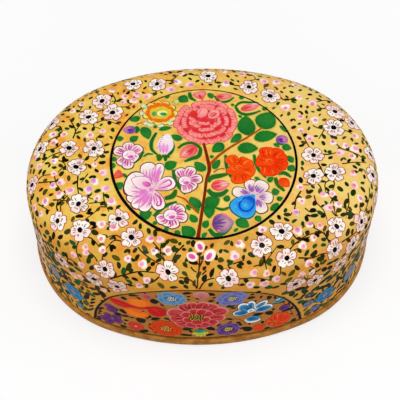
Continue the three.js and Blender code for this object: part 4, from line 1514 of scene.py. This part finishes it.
def paint_small_pink_flowers(material):
    """Three small flowers, each a ring of round petals behind a cupped one with a magenta heart."""
    flowers = Brush(16, 2)
    outline = "#5A1E2C"
    for (x, y), disc, width, tips in SMALL_PINK_FLOWERS:
        petals = [(x, y, *tip, width) for tip in tips]
        reach = disc / 2 / PIXEL_SIZE
        cup = [(x + reach, y, x - reach, y, disc * CUP_WIDTH)]
        heart, glint = (
            [(x + reach * foot[0], y + foot[1], x + reach * end[0], y + end[1], thick)]
            for foot, end, thick in (CUP_HEART, CUP_GLINT)
        )
        flowers.outlined(petals, "#CC3CA4 #FFF2E4 #FDE4DC", outline, layer=2, margin=0.5)
        flowers.streaks(petals, (-0.27, -0.08, 0.2), (0.3, 0.84), "#D040A8 #E468B8 #C02C94", 0.72, layer=14)
        flowers.outlined(cup, "#F8B0DC #FFFAF2 #FFF6EE", outline, BLUNT, layer=15, margin=0.46)
        flowers.draw(heart, "#B81C94 #E878C8 #E88CD0", bend=0.1, layer=17)
        flowers.draw(glint, "#E070C4 #F8C8E8 #F4B4E0", SPINDLE, bend=-0.2, layer=17)
    flowers.build("medallion_small_pink_flowers", material)


# The rosette: pale petals behind, two crowns of petals (foot, middle and half sizes of their tips' ellipse,
# number, width and first angle), the ring round the eye in millimetres, and the eye
ROSETTE_PALE = [
    (150, 120.6, 143.6, 124.4, 2.6), (152, 121, 149.4, 127, 2.8), (160, 121.6, 160.6, 127.4, 3),
    (168, 120, 172, 125, 2.6), (148, 108, 141.4, 105, 2.6), (146, 113.6, 139.6, 113.4, 2.6),
]
ROSETTE_RIM = ((160, 113.6), (160, 113.2), (18.4, 12.8), 11, 3.6, 0.0)
ROSETTE_FLAME = ((160, 113.4), (160, 112.6), (15, 10.2), 9, 4.0, 0.3)
EYE_MIDDLE = (160.4, 113.2)
EYE_HALVES = np.array([4.9, 3.7, 0.0])
EYE_PETALS, EYE_START, EYE_FULLNESS = 7, 0.1, 1.1
EYE_JITTER, EYE_REACHES = (-0.06, 0.06), (0.94, 1.06)
EYE_PETAL_WIDTH = FULL_TURN * EYE_HALVES.sum() / 2 / EYE_PETALS * EYE_FULLNESS
ROSETTE_CURL = [(172, 100.6, 177, 105, 2.6)]
ROSETTE_SHADE = [(151.4, 114.6, 157, 114.4, 3.4)]
ROSETTE_EYE = [(168.4, 113.8, 156, 114, 4.6)]
ROSETTE_PUPIL = [(167.6, 115.4, 159.6, 114.2, 2.3)]


def crown_rows(foot, middle, halves, count, width, start):
    """Rows of petals from one foot to the tips on an ellipse of pixels."""
    (x, y), (half_x, half_y) = middle, halves
    angles = spokes(count) + start
    return [(*foot, x + half_x * math.cos(a), y + half_y * math.sin(a), width) for a in angles]


def paint_rosette(material):
    """The yellow and orange rosette at the upper left, with its lime and green eye."""
    rosette = Brush(14, 2)
    rosette.outlined(ROSETTE_PALE, "#70B8A0 #F0F0C8 #E0F0D0", "#8A7A20", FAN, margin=0.3)
    rosette.outlined(crown_rows(*ROSETTE_RIM), "#F08414 #F8E048 #F4EC90", "#7A5018", layer=2, margin=0.3)
    rosette.outlined(crown_rows(*ROSETTE_FLAME), "#F8B818 #EE500C #F58420", "#D8500C", layer=26, margin=0.2)
    turn = EYE_START + spokes(EYE_PETALS) + vary(EYE_JITTER, EYE_PETALS)
    away = np.stack([np.cos(turn), np.sin(turn), np.zeros_like(turn)], -1) * EYE_HALVES
    centre = cast([EYE_MIDDLE])
    tips = settle(centre + away * vary(EYE_REACHES, (EYE_PETALS, 1)))[0]
    feet = np.repeat(settle(centre)[0], EYE_PETALS, axis=0)
    rosette.stroke(feet, tips, EYE_PETAL_WIDTH, tones("#A4C850 #F4D030 #F0B028"), FAN, layer=46)
    rosette.draw(ROSETTE_CURL, "#A8C060 #F0E890 #88A848", bend=0.3, layer=46)
    rosette.draw(ROSETTE_SHADE, "#2C7C74 #6CA860 #98C454", layer=48)
    rosette.outlined(ROSETTE_EYE, "#F0EC60 #F8F49C #E4E458", "#6C7C18", BLUNT, layer=50)
    rosette.draw(ROSETTE_PUPIL, "#0E7A58 #3C9C68 #88C870", layer=52)
    rosette.build("medallion_rosette", material)


# Closed buds, each a row, colours and shape
CORAL, VIOLET = "#E0141C #F8A8A8 #EE4450", "#40148A #E090B0 #8850B0"
MEDALLION_BUDS = [
    ((202.6, 100.4, 198.4, 91.4, 6.6), CORAL, FAN),
    ((215.2, 97.4, 232.4, 95.6, 3.9), CORAL, OVAL),
    ((240.2, 110, 260.4, 104.4, 4.4), CORAL, LEAF),
    ((210.6, 186.8, 230.4, 183.6, 5.9), CORAL, LEAF),
    ((197, 145.8, 179.2, 158, 6.4), CORAL, LEAF),
    ((124.2, 176.6, 114.4, 173.4, 5), "#E0180C #F07060 #EC3C28", FAN),
    ((136.2, 129.6, 122.4, 130.2, 4.8), VIOLET, LEAF),
    ((275.6, 139.8, 288.4, 139.4, 5.2), VIOLET, OVAL),
    ((163.4, 155, 168, 133, 7.6), "#F4A0DC #FFFFFA #F8E4EC", LEAF),
    ((279.6, 178.4, 289.4, 187.2, 5.2), "#E82408 #F8621C #F04010", LEAF),
    ((211.6, 224.6, 234.6, 222.2, 9.6), "#30085A #DCACB8 #7C4088", LEAF),
]
# Fine strokes on them: colours, bend, layer and rows
BUD_TEETH = [(158.6 + 0.9 * k, 148.6 - 2.1 * k, 157 + 0.9 * k, 147.4 - 2.1 * k, 0.4) for k in range(7)]
BUD_STREAKS = [
    ("#2E0E60 #8A5AA8 #6A3A90", 0.05, 8, [
        (213, 223.6, 226, 218.6, 0.9), (213, 225.2, 228, 222.6, 1), (213.6, 226.6, 225, 227, 0.9),
        (212.6, 222, 222, 215.6, 0.9), (213, 224.4, 222, 221, 1.4), (213, 228, 220, 229.6, 0.8),
    ]),
    ("#D02A60 #F0A0B0 #D86088", 0.05, 8, [
        (219, 213.6, 228.6, 216.4, 1.1), (223, 215.4, 231.6, 219, 1), (216, 229.6, 221, 232, 1),
    ]),
    ("#D40C14 #EE4450 #E83040", 0.05, 8, [
        (212.4, 184.6, 222, 182.4, 0.9), (212.6, 187.8, 222.4, 186, 1.1), (195, 147.6, 186, 153, 1.8),
        (193.6, 151, 186.4, 155.6, 0.9), (242.4, 109.4, 252, 106.8, 1.3), (201.6, 98.6, 199, 94.4, 1.6),
        (217, 97.6, 224, 96.4, 1.4),
    ]),
    ("#F8A0A0 #FFE0DC #FCC8C4", 0.05, 9, [
        (219, 183.4, 229.4, 183, 0.6), (220, 186.6, 228.6, 184.6, 0.6), (186.4, 150.4, 180.6, 156.4, 0.6),
        (250, 104.6, 258.6, 104.2, 0.6),
    ]),
    ("#CC34B0 #F8D0EC #E88CD4", 0.0, 8, [
        (160.4, 153, 160, 143.4, 1.5), (163.4, 154, 163.6, 142.6, 1.6), (166.4, 153.6, 167.4, 143.4, 1.5),
    ]),
    ("#6A2038", 0.0, 8, BUD_TEETH),
    ("#300A78 #7038A8 #5A2498", 0.1, 8, [
        (133.6, 129.6, 126.4, 130, 1.6), (133.4, 131.4, 127, 132.4, 0.8), (278, 140, 283.4, 140, 1.8),
        (279, 141.6, 284.4, 142.6, 0.8),
    ]),
]


def paint_medallion_buds(material):
    """Closed buds in red, coral, violet and white."""
    buds, streaks = Brush(16, 2), Brush(10)
    for row, colours, shape in MEDALLION_BUDS:
        buds.draw([row], colours, shape, layer=6)
    buds.build("medallion_buds", material)
    for colours, bend, layer, rows in BUD_STREAKS:
        streaks.draw(rows, colours, SPINDLE, bend, layer)
    streaks.build("medallion_bud_streaks", material)


# The poppies: colours and rows of the petals, then the petals in front. A swirl reaches first + growth *
# angle from a middle, in x and in y, and has a colour, width, lag and layer.
POPPIES = [
    ("#EC2404 #FC5C14 #FF5E14", [
        (238, 169, 246.8, 157.6, 5.4), (239, 168, 255.4, 173, 6.6), (238, 171, 249, 181, 5),
        (236, 167, 229, 155.4, 6), (237, 170, 239, 184.2, 6.4), (238, 168, 253.4, 162, 5),
        (239, 173, 229.4, 166, 7.6),
    ]),
    ("#EA1E04 #FA4810 #F84410", [
        (270, 161, 281.4, 149, 6), (271, 161, 288, 167, 6.2), (269, 162, 279, 174.2, 5.8),
        (268, 160, 266.6, 146.8, 7), (268, 163, 268, 176.8, 7.2), (270, 160, 287.6, 156.6, 5.2),
        (271, 163, 256.8, 157.6, 9),
    ]),
]
POPPY_FRONTS = [(243.4, 167, 232.6, 167.8, 4.6), (274.6, 161, 262, 161.6, 4.8)]
POPPY_MIDDLES = [(238, 167.6), (268.2, 161.4)]
SWIRL_ANGLES = np.linspace(0.4, 5.6, 12)
SWIRLS = [
    ((1.2, 0.75), (0.9, 0.5), "#C01C04", 0.42, 0, 19),
    ((0.6, 0.6), (0.4, 0.4), "#FF9A40", 0.4, 0.5, 20),
]


def paint_orange_flowers(material):
    """The two poppy-like flowers at the right, red-orange with a swirled middle."""
    poppies, lights, swirls = Brush(16, 2), Brush(10), Liner(0.5)
    gleams = "#FF7A20 #E02804 #F8480C #EC3404"
    for colours, rows in POPPIES:
        poppies.outlined(rows, colours, "#C02004", layer=2, margin=0.2)
        lights.streaks(rows, (-0.26, 0.02, 0.28), (0.3, 0.84), gleams, 0.7, layer=17)
    poppies.draw(POPPY_FRONTS, "#F03008 #FF6418 #FA5010", BLUNT, layer=17)
    for x, y in POPPY_MIDDLES:
        for (first_x, grow_x), (first_y, grow_y), colour, width, lag, layer in SWIRLS:
            along, down = np.cos(SWIRL_ANGLES + lag), np.sin(SWIRL_ANGLES + lag)
            loop_x = x + (first_x + grow_x * SWIRL_ANGLES) * along
            loop_y = y + (first_y + grow_y * SWIRL_ANGLES) * down
            swirls.line(cast(np.stack([loop_x, loop_y], -1)), width, linear(colour), (0.6, 0.5), layer)
    poppies.build("medallion_orange_flowers", material)
    lights.build("medallion_orange_flower_lights", material)
    swirls.build("medallion_orange_flower_swirls", material)


# The white and violet flower with its throats, and the blue petal with its depth, its sheen and its curl
WHITE_VIOLET = [
    (255, 195.6, 231.6, 190.6, 5.4), (255, 195.4, 248.4, 179.4, 5.4), (255, 195, 264.8, 181, 6.6),
    (255.4, 196, 273.6, 198.6, 6), (255.4, 196, 264, 213.6, 5.6),
]
VIOLET_THROATS = [
    (252.4, 192.6, 249, 183.6, 1.6), (253.4, 192, 253, 185.6, 0.9), (256.6, 192.6, 259, 186.4, 1.3),
    (258, 194, 265, 189.4, 0.8), (258, 197, 266, 198, 0.9), (257, 199, 261.4, 208.4, 1.8),
    (256.6, 199.4, 257.8, 206, 0.9), (249, 193.6, 239.6, 191, 1.4), (248, 192.4, 241.6, 188.4, 0.7),
]
BLUE_PETAL = [(255, 193.6, 236, 216, 11.6)]
BLUE_DEPTH = [(253, 197, 245.6, 206, 3.6)]
BLUE_SHEEN = [(250.4, 201, 242.8, 207.6, 4)]
BLUE_GLINTS = [
    (243, 197.8, 236.4, 201.8, 0.5), (235.6, 204, 234.4, 209, 0.5), (237.4, 212.4, 242.4, 215.4, 0.5),
    (247, 203, 243.4, 206.4, 0.7),
]
BLUE_CURL = [(250.4, 196.6), (242, 199.6), (239.4, 204), (241, 209.6), (247, 211.4), (253, 207), (254.4, 199)]


def paint_blue_flower(material):
    """The white flower with violet throats, and the great blue petal that hangs from it."""
    flower, petal, arcs = Brush(18, 2), Brush(22, 3), Liner(0.8)
    flower.outlined(WHITE_VIOLET, "#A858A8 #FFF6E6 #FDECDC", "#5A2C24", layer=2, margin=0.42)
    flower.draw(VIOLET_THROATS, "#6A2894 #C080C4 #A860B8", SPINDLE, bend=0.04, layer=13)
    offsets = (-0.26, -0.1, 0.08, 0.24)
    flower.streaks(WHITE_VIOLET, offsets, (0.2, 0.62), "#8C3CA0 #A868C0 #D090CC #E4A8D4", 0.55, layer=12)
    flower.build("medallion_white_violet_flower", material)
    petal.outlined(BLUE_PETAL, "#1668DC #2CA4EE #48B4EC", "#2A6478", GREAT_PETAL, layer=13, margin=0.3)
    petal.draw(BLUE_DEPTH, "#0E2CB0 #1C80E4 #1A6CDC", LEAF, layer=15)
    petal.draw(BLUE_SHEEN, "#1460D4 #40B4F0 #2C98E8", BLUNT, layer=16)
    petal.draw(BLUE_GLINTS, "#3CB0EC #68C8F4 #44B4EE", SPINDLE, bend=0.12, layer=18)
    arcs.line(cast(BLUE_CURL), 1.0, linear("#1248C8"), (0.5, 0.5), layer=17, swell_share=0.6)
    petal.build("medallion_blue_petal", material)
    arcs.build("medallion_blue_petal_arc", material)


def paint_medallion():
    """Everything inside the ring."""
    paint_medallion_leaves(tempera("emerald", 0.3))
    paint_medallion_frame()
    pink = tempera("pink_and_red_lake", 0.16)
    paint_carnation(pink)
    paint_lotus(pink)
    paint_small_pink_flowers(pink)
    paint_rosette(tempera("yellow_and_orange", 0.16))
    paint_medallion_buds(pink)
    paint_orange_flowers(tempera("minium_orange", 0.2))
    paint_blue_flower(tempera("blue_and_white", 0.16))


# The lunette on each long wall: an arch of large flowers. Rows are as in the medallion.
LUNETTE_ARCH_WIDTHS = (1.5, 1.1, 0.6, 0.5, 0.5, 0.5, 0.6, 1.1, 1.5)
LUNETTE_BORDER = [
    (95, 318.4), (110, 325), (130, 330.9), (157, 335.3), (200, 337.8), (237, 334.9), (270, 329.4),
    (300, 318.8),
]
LUNETTE_PEONY = [
    (195, 315, 182, 303.2, 7), (199, 315, 215, 303.8, 7.2), (196, 314, 191.6, 302.2, 5.4),
    (197, 314, 204.6, 302, 5.6), (193, 317, 167.4, 310.8, 7.6), (199, 317, 227.6, 309, 7.4),
    (192, 318, 169.6, 318.6, 7), (200, 318, 225, 317.2, 7), (193, 319, 178, 325.4, 6.6),
    (200, 319, 216.4, 324.4, 6.8), (196, 319, 191.6, 327.8, 6.4), (198, 319, 205, 327.6, 6.4),
    (195, 317, 181.6, 312.8, 5), (198, 316, 212.6, 311.8, 5), (196, 316, 193.4, 308.4, 4.6),
    (198, 316, 203.4, 308.6, 4.4), (195, 318, 183.8, 320.6, 4.8), (198, 318, 210, 319.8, 4.8),
    (197, 318, 197.4, 324, 5),
]
PEONY_OUTER = 12  # of the peony's petals are in its outer ring
PEONY_MIDDLE, PEONY_HEART = (196.4, 317), (3.6, 2.9)
LUNETTE_RED = [
    (132, 306.6, 109.4, 298.4, 5.6), (151, 308, 125, 304.8, 3), (167, 312.6, 147, 309.4, 9.4),
    (166, 316, 152, 306.4, 4),
]
LUNETTE_ORANGE = [(151, 303.6, 126, 300.8, 7), (150, 315.8, 123.6, 309.2, 7)]
LUNETTE_ROSE = [(152.6, 298.4, 140.4, 295, 4.6)]
LUNETTE_SCARLET = [
    (279, 321, 291.6, 314, 5.2), (277, 321, 285, 311.8, 5.4), (276, 321, 276.6, 312.8, 4.6),
    (274, 321, 267, 319.6, 4.8), (277, 321.4, 288.6, 319.4, 5), (275, 321.4, 270.6, 325.6, 4.2),
    (277, 321.4, 281, 325, 4.6), (262, 327.4, 253.6, 326.6, 4.4), (258, 327, 265, 326.4, 4.4),
    (260, 327.6, 257, 330.6, 3.4),
]
LUNETTE_PLUM = [
    (117, 310, 104.4, 304, 4.4), (118, 311.6, 106.4, 309, 3.2), (112, 317.6, 104, 312.8, 4.2),
    (112.6, 318.6, 99.6, 317.4, 4.2), (113, 318, 122.4, 322.4, 5.2), (113, 318, 119.6, 315.8, 3.6),
    (112.6, 318.8, 107, 323, 3.8), (279, 310, 290, 304.4, 5),
]
LUNETTE_PINK = [(204, 300.6, 196, 292.6, 3.6), (200, 300.8, 206.6, 293, 3.4), (201, 301, 201, 292, 3.8)]
LUNETTE_WHITE_EDGED = [
    (252, 308, 250.6, 300.6, 4), (254, 309, 268, 299.8, 4.8), (254, 310.6, 273.6, 304.8, 6.2),
    (251, 311, 239.6, 303.4, 6.2), (250, 311.6, 231.8, 313.4, 5.4), (244.6, 319.8, 261, 319, 5.6),
]
LUNETTE_BLUES = [
    (252, 308, 251, 302.4, 2.8), (256, 308, 266, 301.4, 2.6), (255, 310.8, 272, 306.2, 4.6),
    (251, 311, 241.4, 304.8, 5), (249, 311.4, 233.4, 313.2, 4.2), (245.6, 319.2, 260, 318.2, 4.4),
]
BLUE_EYE, BLUE_PUPIL = [(247, 311.4, 255, 309, 3.4)], [(248.6, 311, 253, 309.8, 1.2)]
LUNETTE_TEAL, TEAL_GLINT = [(272.6, 302, 285.4, 298, 4.6)], [(275, 301, 281, 297.8, 1.0)]
LUNETTE_CALYX = [(193.4, 331.6, 206.6, 331, 3.8)]
CALYX_TEETH = [
    (197, 332, 192.6, 334.4, 1.6), (198.6, 332.4, 196.8, 336.2, 1.6), (200.2, 332.4, 201, 336.6, 1.7),
    (202, 332.2, 205.4, 335.8, 1.6), (203.4, 331.6, 208.2, 333.6, 1.6),
]
LUNETTE_LEAVES = [
    (128, 295.4, 139.4, 296, 1.8), (120.4, 297, 127.6, 300, 2.6), (149.8, 301.4, 159, 301.8, 4.6),
    (160, 304.6, 164, 305.8, 1.6), (112, 307, 118.6, 311, 2.6), (119, 308.6, 126.4, 314.2, 3),
    (113, 312.6, 124, 315.8, 2.6), (122, 315, 130, 316.6, 1.6), (99, 309.6, 103, 307.6, 1.6),
    (98.6, 311.6, 102.4, 310.8, 1.4), (98, 313.6, 101.6, 313, 1.2), (137.6, 321.6, 145.6, 319.4, 4.8),
    (145, 318.4, 152.6, 316.4, 1.8), (151, 319.6, 161, 318.2, 2.6), (163.6, 318, 169.8, 319.8, 2),
    (120, 325.6, 127.4, 327.4, 3), (139, 331.6, 149.4, 331, 3), (183, 330, 195.4, 326.8, 4),
    (178.4, 334.4, 192.6, 336, 2), (97, 319.6, 103, 318, 1.8), (186.6, 296.6, 190.8, 296.8, 1.4),
    (186.4, 299.8, 190.6, 299.8, 1.2), (182, 294, 192.6, 293, 1.8), (207, 293.8, 215.6, 295.6, 2.4),
    (208, 301.6, 214.8, 300.6, 2), (225.8, 307, 236, 305.6, 2.4), (247, 298.6, 256, 297, 2.4),
    (250, 294.6, 254.8, 294.4, 1.4), (255.6, 292.8, 261.6, 291.4, 2.2), (266.6, 298.6, 272.4, 296.4, 3.8),
    (273, 303.4, 286, 301.4, 2.2), (252.4, 315.6, 263, 313.8, 3), (266.8, 314.8, 272.6, 310.8, 5),
    (281, 311.6, 294.6, 307.8, 2.6), (244, 330.8, 251.6, 326.8, 6), (205, 327, 215.6, 330.4, 3),
    (204.8, 335.8, 215.6, 333.8, 2.2), (264, 328.8, 270.4, 327.2, 2), (291.4, 319.4, 295.4, 320.4, 2.8),
    (236.6, 321.8, 240.4, 324, 2), (224.4, 309.4, 227, 309.8, 1.2), (176, 305.6, 182, 303.6, 1.6),
    (226, 318.6, 233, 320, 1.8), (287, 316, 293.6, 312.4, 1.2),
]
LUNETTE_STEMS = [
    ([(97, 319), (110, 317.6), (123, 316.4), (139, 318.8), (158, 320.6), (178, 322)], 0.5),
    ([(158, 300.6), (163, 306), (168, 313)], 0.4), ([(299, 320), (288, 322), (276, 326), (262, 330)], 0.5),
    ([(236, 306), (242, 310), (249, 312), (256, 313.6), (270, 313)], 0.45),
    ([(139, 331), (128, 327), (116, 322)], 0.4), ([(214, 324), (224, 320), (238, 319), (246, 324)], 0.45),
    ([(280, 300), (288, 307), (294, 316)], 0.4),
]
# Middle pixel, half sizes in millimetres, number of petals, their colours, the heart's half sizes, and the
# colours of its pollen and of the petals' outlines
LUNETTE_ROUND_FLOWERS = [
    ((171.4, 298.8), (6.5, 5.6), 9, "#184C94 #4C8CCC #7CB0D4", (2, 1.7), "#FFF6E0", "#8CA4A0"),
    ((232, 298.6), (6.7, 5.8), 8, "#242C84 #6C74C4 #969CD4", (1.9, 1.6), "#F4E890", "#7C84A4"),
    ((166.4, 328.4), (7.8, 7.2), 10, "#A80C04 #EC4208 #F05A10", (2.4, 2.1), "#FFDC58", "#A82806"),
    ((228, 329), (5.6, 5.9), 8, "#1C0638 #5C2C88 #7C509C", (1.9, 1.7), "#FFE860", "#8C6C94"),
    ((136, 326), (3.4, 3.8), 6, "#B81440 #E83424 #EE5A30", (0.5, 0.4), "#F8A090", "#B02C10"),
]
INNER_SHARE, INNER_START, INNER_FEWER = 0.66, 0.3, 2  # the inner ring of a round flower's petals
GOLDEN_ANGLE = math.pi * (3 - math.sqrt(5))
FEWEST_DOTS, DOTS_BY_SIZE = 13, 2
DOT_HALF, DOT_WIDTH = 0.33, 0.54
GAP_TRIES, GAP_SPACING, GAP_CLEARANCE, GAP_MARGIN, GAP_FOOT = 9000, 3.4, 2.4, -2.2, 3.2
GAP_HALVES, GAP_FULLNESS = (1.0, 1.6), 1.1


def dotted_heart(discs, dots, centre, half, pollen, layer):
    """A dark round heart under pollen dots on a spiral: dot k lies at k golden angles, and at the square root
    of its share of the count."""
    discs.dab(centre, 0.0, half[0], half[1] * 2, tones("#3A1C10 #3A1C10 #5A2C14"), layer=layer)
    count = int(FEWEST_DOTS + DOTS_BY_SIZE * half[0] * half[1])
    order = np.arange(count) + 0.5
    angle = order * GOLDEN_ANGLE
    away = np.sqrt(order / count) * np.hypot(half[0] * np.cos(angle), half[1] * np.sin(angle))
    spots = beside(np.repeat(centre, count, 0), angle, away)
    dots.dab(spots, vary(TURNS, count), DOT_HALF, DOT_WIDTH, tones(pollen), layer=layer + 1)


def paint_lunette_lines():
    """The lunette's arch, its lower border and its stems."""
    lines = Liner(1.0)
    lines.line(cast(LUNETTE_ARCH), LUNETTE_ARCH_WIDTHS, linear("#160E08"), layer=8)
    lines.line(cast(LUNETTE_BORDER), 0.62, linear("#2A140A"), layer=8)
    for path, width in LUNETTE_STEMS:
        lines.line(cast(path), width, linear("#2E2A0C"), (1.0, 0.6))
    lines.build("front_lunette_lines", tempera("dark_umber_line", 0.1))


def paint_lunette_leaves():
    """Dark leaves between the flowers, and others in the gaps."""
    leaves = Brush(14)
    base, tip, width = placed(LUNETTE_LEAVES)
    leaves.stroke(base, tip, width, pick("#0E1208 #16200A #1A120A #122A10", len(base)), LEAF, 0.06, 1)
    candidates = random_ground(GAP_TRIES)
    on_front = (candidates[:, 1] < 0) & (candidates[:, 2] > LID_FOOT + GAP_FOOT)
    candidates = candidates[in_lunette(candidates, GAP_MARGIN) & on_front]
    gaps = scattered(candidates, GAP_SPACING, base, np.full(len(base), GAP_CLEARANCE))
    turn = vary(TURNS, len(gaps))
    half = vary(GAP_HALVES, len(gaps))
    shade = pick("#0E1208 #1E1408 #1A120A #122A10 #2A1C0C", len(gaps))
    leaves.dab(gaps, turn, half, half * GAP_FULLNESS, shade, LEAF, 0.06)
    leaves.build("front_lunette_leaves", tempera("bottle_green", 0.2))


def paint_lunette_flowers():
    """The lunette's flowers, from the back to the front."""
    petals, hearts, pollen = Brush(16, 2), Brush(14), Brush(8)
    petals.outlined(LUNETTE_PLUM, "#2C0A50 #743080 #8A5090", "#1C0C24", OVAL, layer=1, margin=0.3)
    petals.draw(LUNETTE_RED, "#C4102C #E01806 #D01008", bend=0.05, layer=3)
    petals.streaks(LUNETTE_RED, (-0.2, 0.15), (0.2, 0.8), "#9C1434 #F03818", 0.5, layer=4)
    petals.draw(LUNETTE_ORANGE, "#FF7A0C #FF8418 #FA640E", bend=0.05, layer=5)
    petals.streaks(LUNETTE_ORANGE, (-0.3, 0.0, 0.28), (0.15, 0.85), "#FF9C38 #FF8C28 #F05C0C", 0.6, layer=7)
    petals.outlined(LUNETTE_ROSE, "#A82434 #D05A60 #D87C78", "#B87860", OVAL, layer=1)
    petals.outlined(LUNETTE_SCARLET, "#D0180C #F8480C #F4601C", "#A81C08", layer=1, margin=0.26)
    petals.streaks(LUNETTE_SCARLET, (-0.2, 0.14), (0.2, 0.84), "#C81408 #FF7A24 #E43008", 0.45, layer=14)
    for middle, half, count, colours, heart, spot, edge in LUNETTE_ROUND_FLOWERS:
        centre = cast([middle])
        fewer = count - INNER_FEWER
        wall_petals(petals, centre, half, 1.0, count, colours, edge, layer=6)
        wall_petals(petals, centre, half, INNER_SHARE, fewer, colours, edge, layer=10, start=INNER_START)
        dotted_heart(hearts, pollen, centre, heart, spot, layer=15)
    petals.outlined(LUNETTE_PINK, "#B84858 #D07880 #D88C88", "#D8A080", FAN, layer=2)
    outer, inner = LUNETTE_PEONY[:PEONY_OUTER], LUNETTE_PEONY[PEONY_OUTER:]
    offsets = (-0.3, -0.1, 0.12, 0.32)
    petals.outlined(outer, "#A40C1C #D4383C #DC5450", "#E8948C", layer=4, margin=0.56)
    petals.streaks(outer, offsets, (0.4, 0.86), "#8C0C18 #E06C68 #B41820", 0.36, layer=28)
    petals.outlined(inner, "#98081C #D02C34 #D84448", "#EC9C90", layer=30, margin=0.5)
    dotted_heart(hearts, pollen, cast([PEONY_MIDDLE]), PEONY_HEART, "#F0D040", layer=45)
    petals.outlined(LUNETTE_WHITE_EDGED, "#A8D4E4 #FFFFFA #FFF8F0", "#1C3C48", OVAL, layer=3, margin=0.34)
    petals.draw(LUNETTE_BLUES, "#083C88 #2C88C0 #58A4CC", bend=0.06, layer=20)
    petals.streaks(LUNETTE_BLUES, (-0.25, 0.2), (0.1, 0.7), "#06306C #0C4C90 #7CC4E0", 0.4, layer=21)
    petals.outlined(BLUE_EYE, "#FFFFFF #FFFFFA #E8F4F4", "#0E4A80", BLUNT, layer=22)
    petals.draw(BLUE_PUPIL, "#8C7C8C #5C8CAC #B8C8C8", layer=24)
    petals.outlined(LUNETTE_TEAL, "#0C3440 #3C8C94 #8CC4C4", "#0E2018", OVAL, layer=3)
    petals.draw(TEAL_GLINT, "#C8E8E0 #F0FCF4 #8CC4C4", SPINDLE, layer=6)
    petals.outlined(LUNETTE_CALYX, "#127060 #2CA08A #58B070", "#2A4A10", OVAL, layer=3)
    petals.draw(CALYX_TEETH, "#88B040 #E0D848 #E8DC50", layer=6)
    petals.build("front_lunette_petals", tempera("madder_and_blue", 0.22))
    hearts.build("front_lunette_hearts", tempera("umber_heart", 0.1))
    pollen.build("front_lunette_pollen", tempera("yellow_pollen", 0.05))


make_camera()
make_world()
make_floor()
make_lamps()

gold = gold_ground()
black = black_lacquer()
lid_shell(gold)
lid_lining(black)
foot_plate(bronze_edge())
floor_board(black)
tray_hoop(black)
paint_field()
paint_medallion()
paint_lunette_lines()
paint_lunette_leaves()
paint_lunette_flowers()

bpy.context.scene.view_settings.view_transform = "Standard"
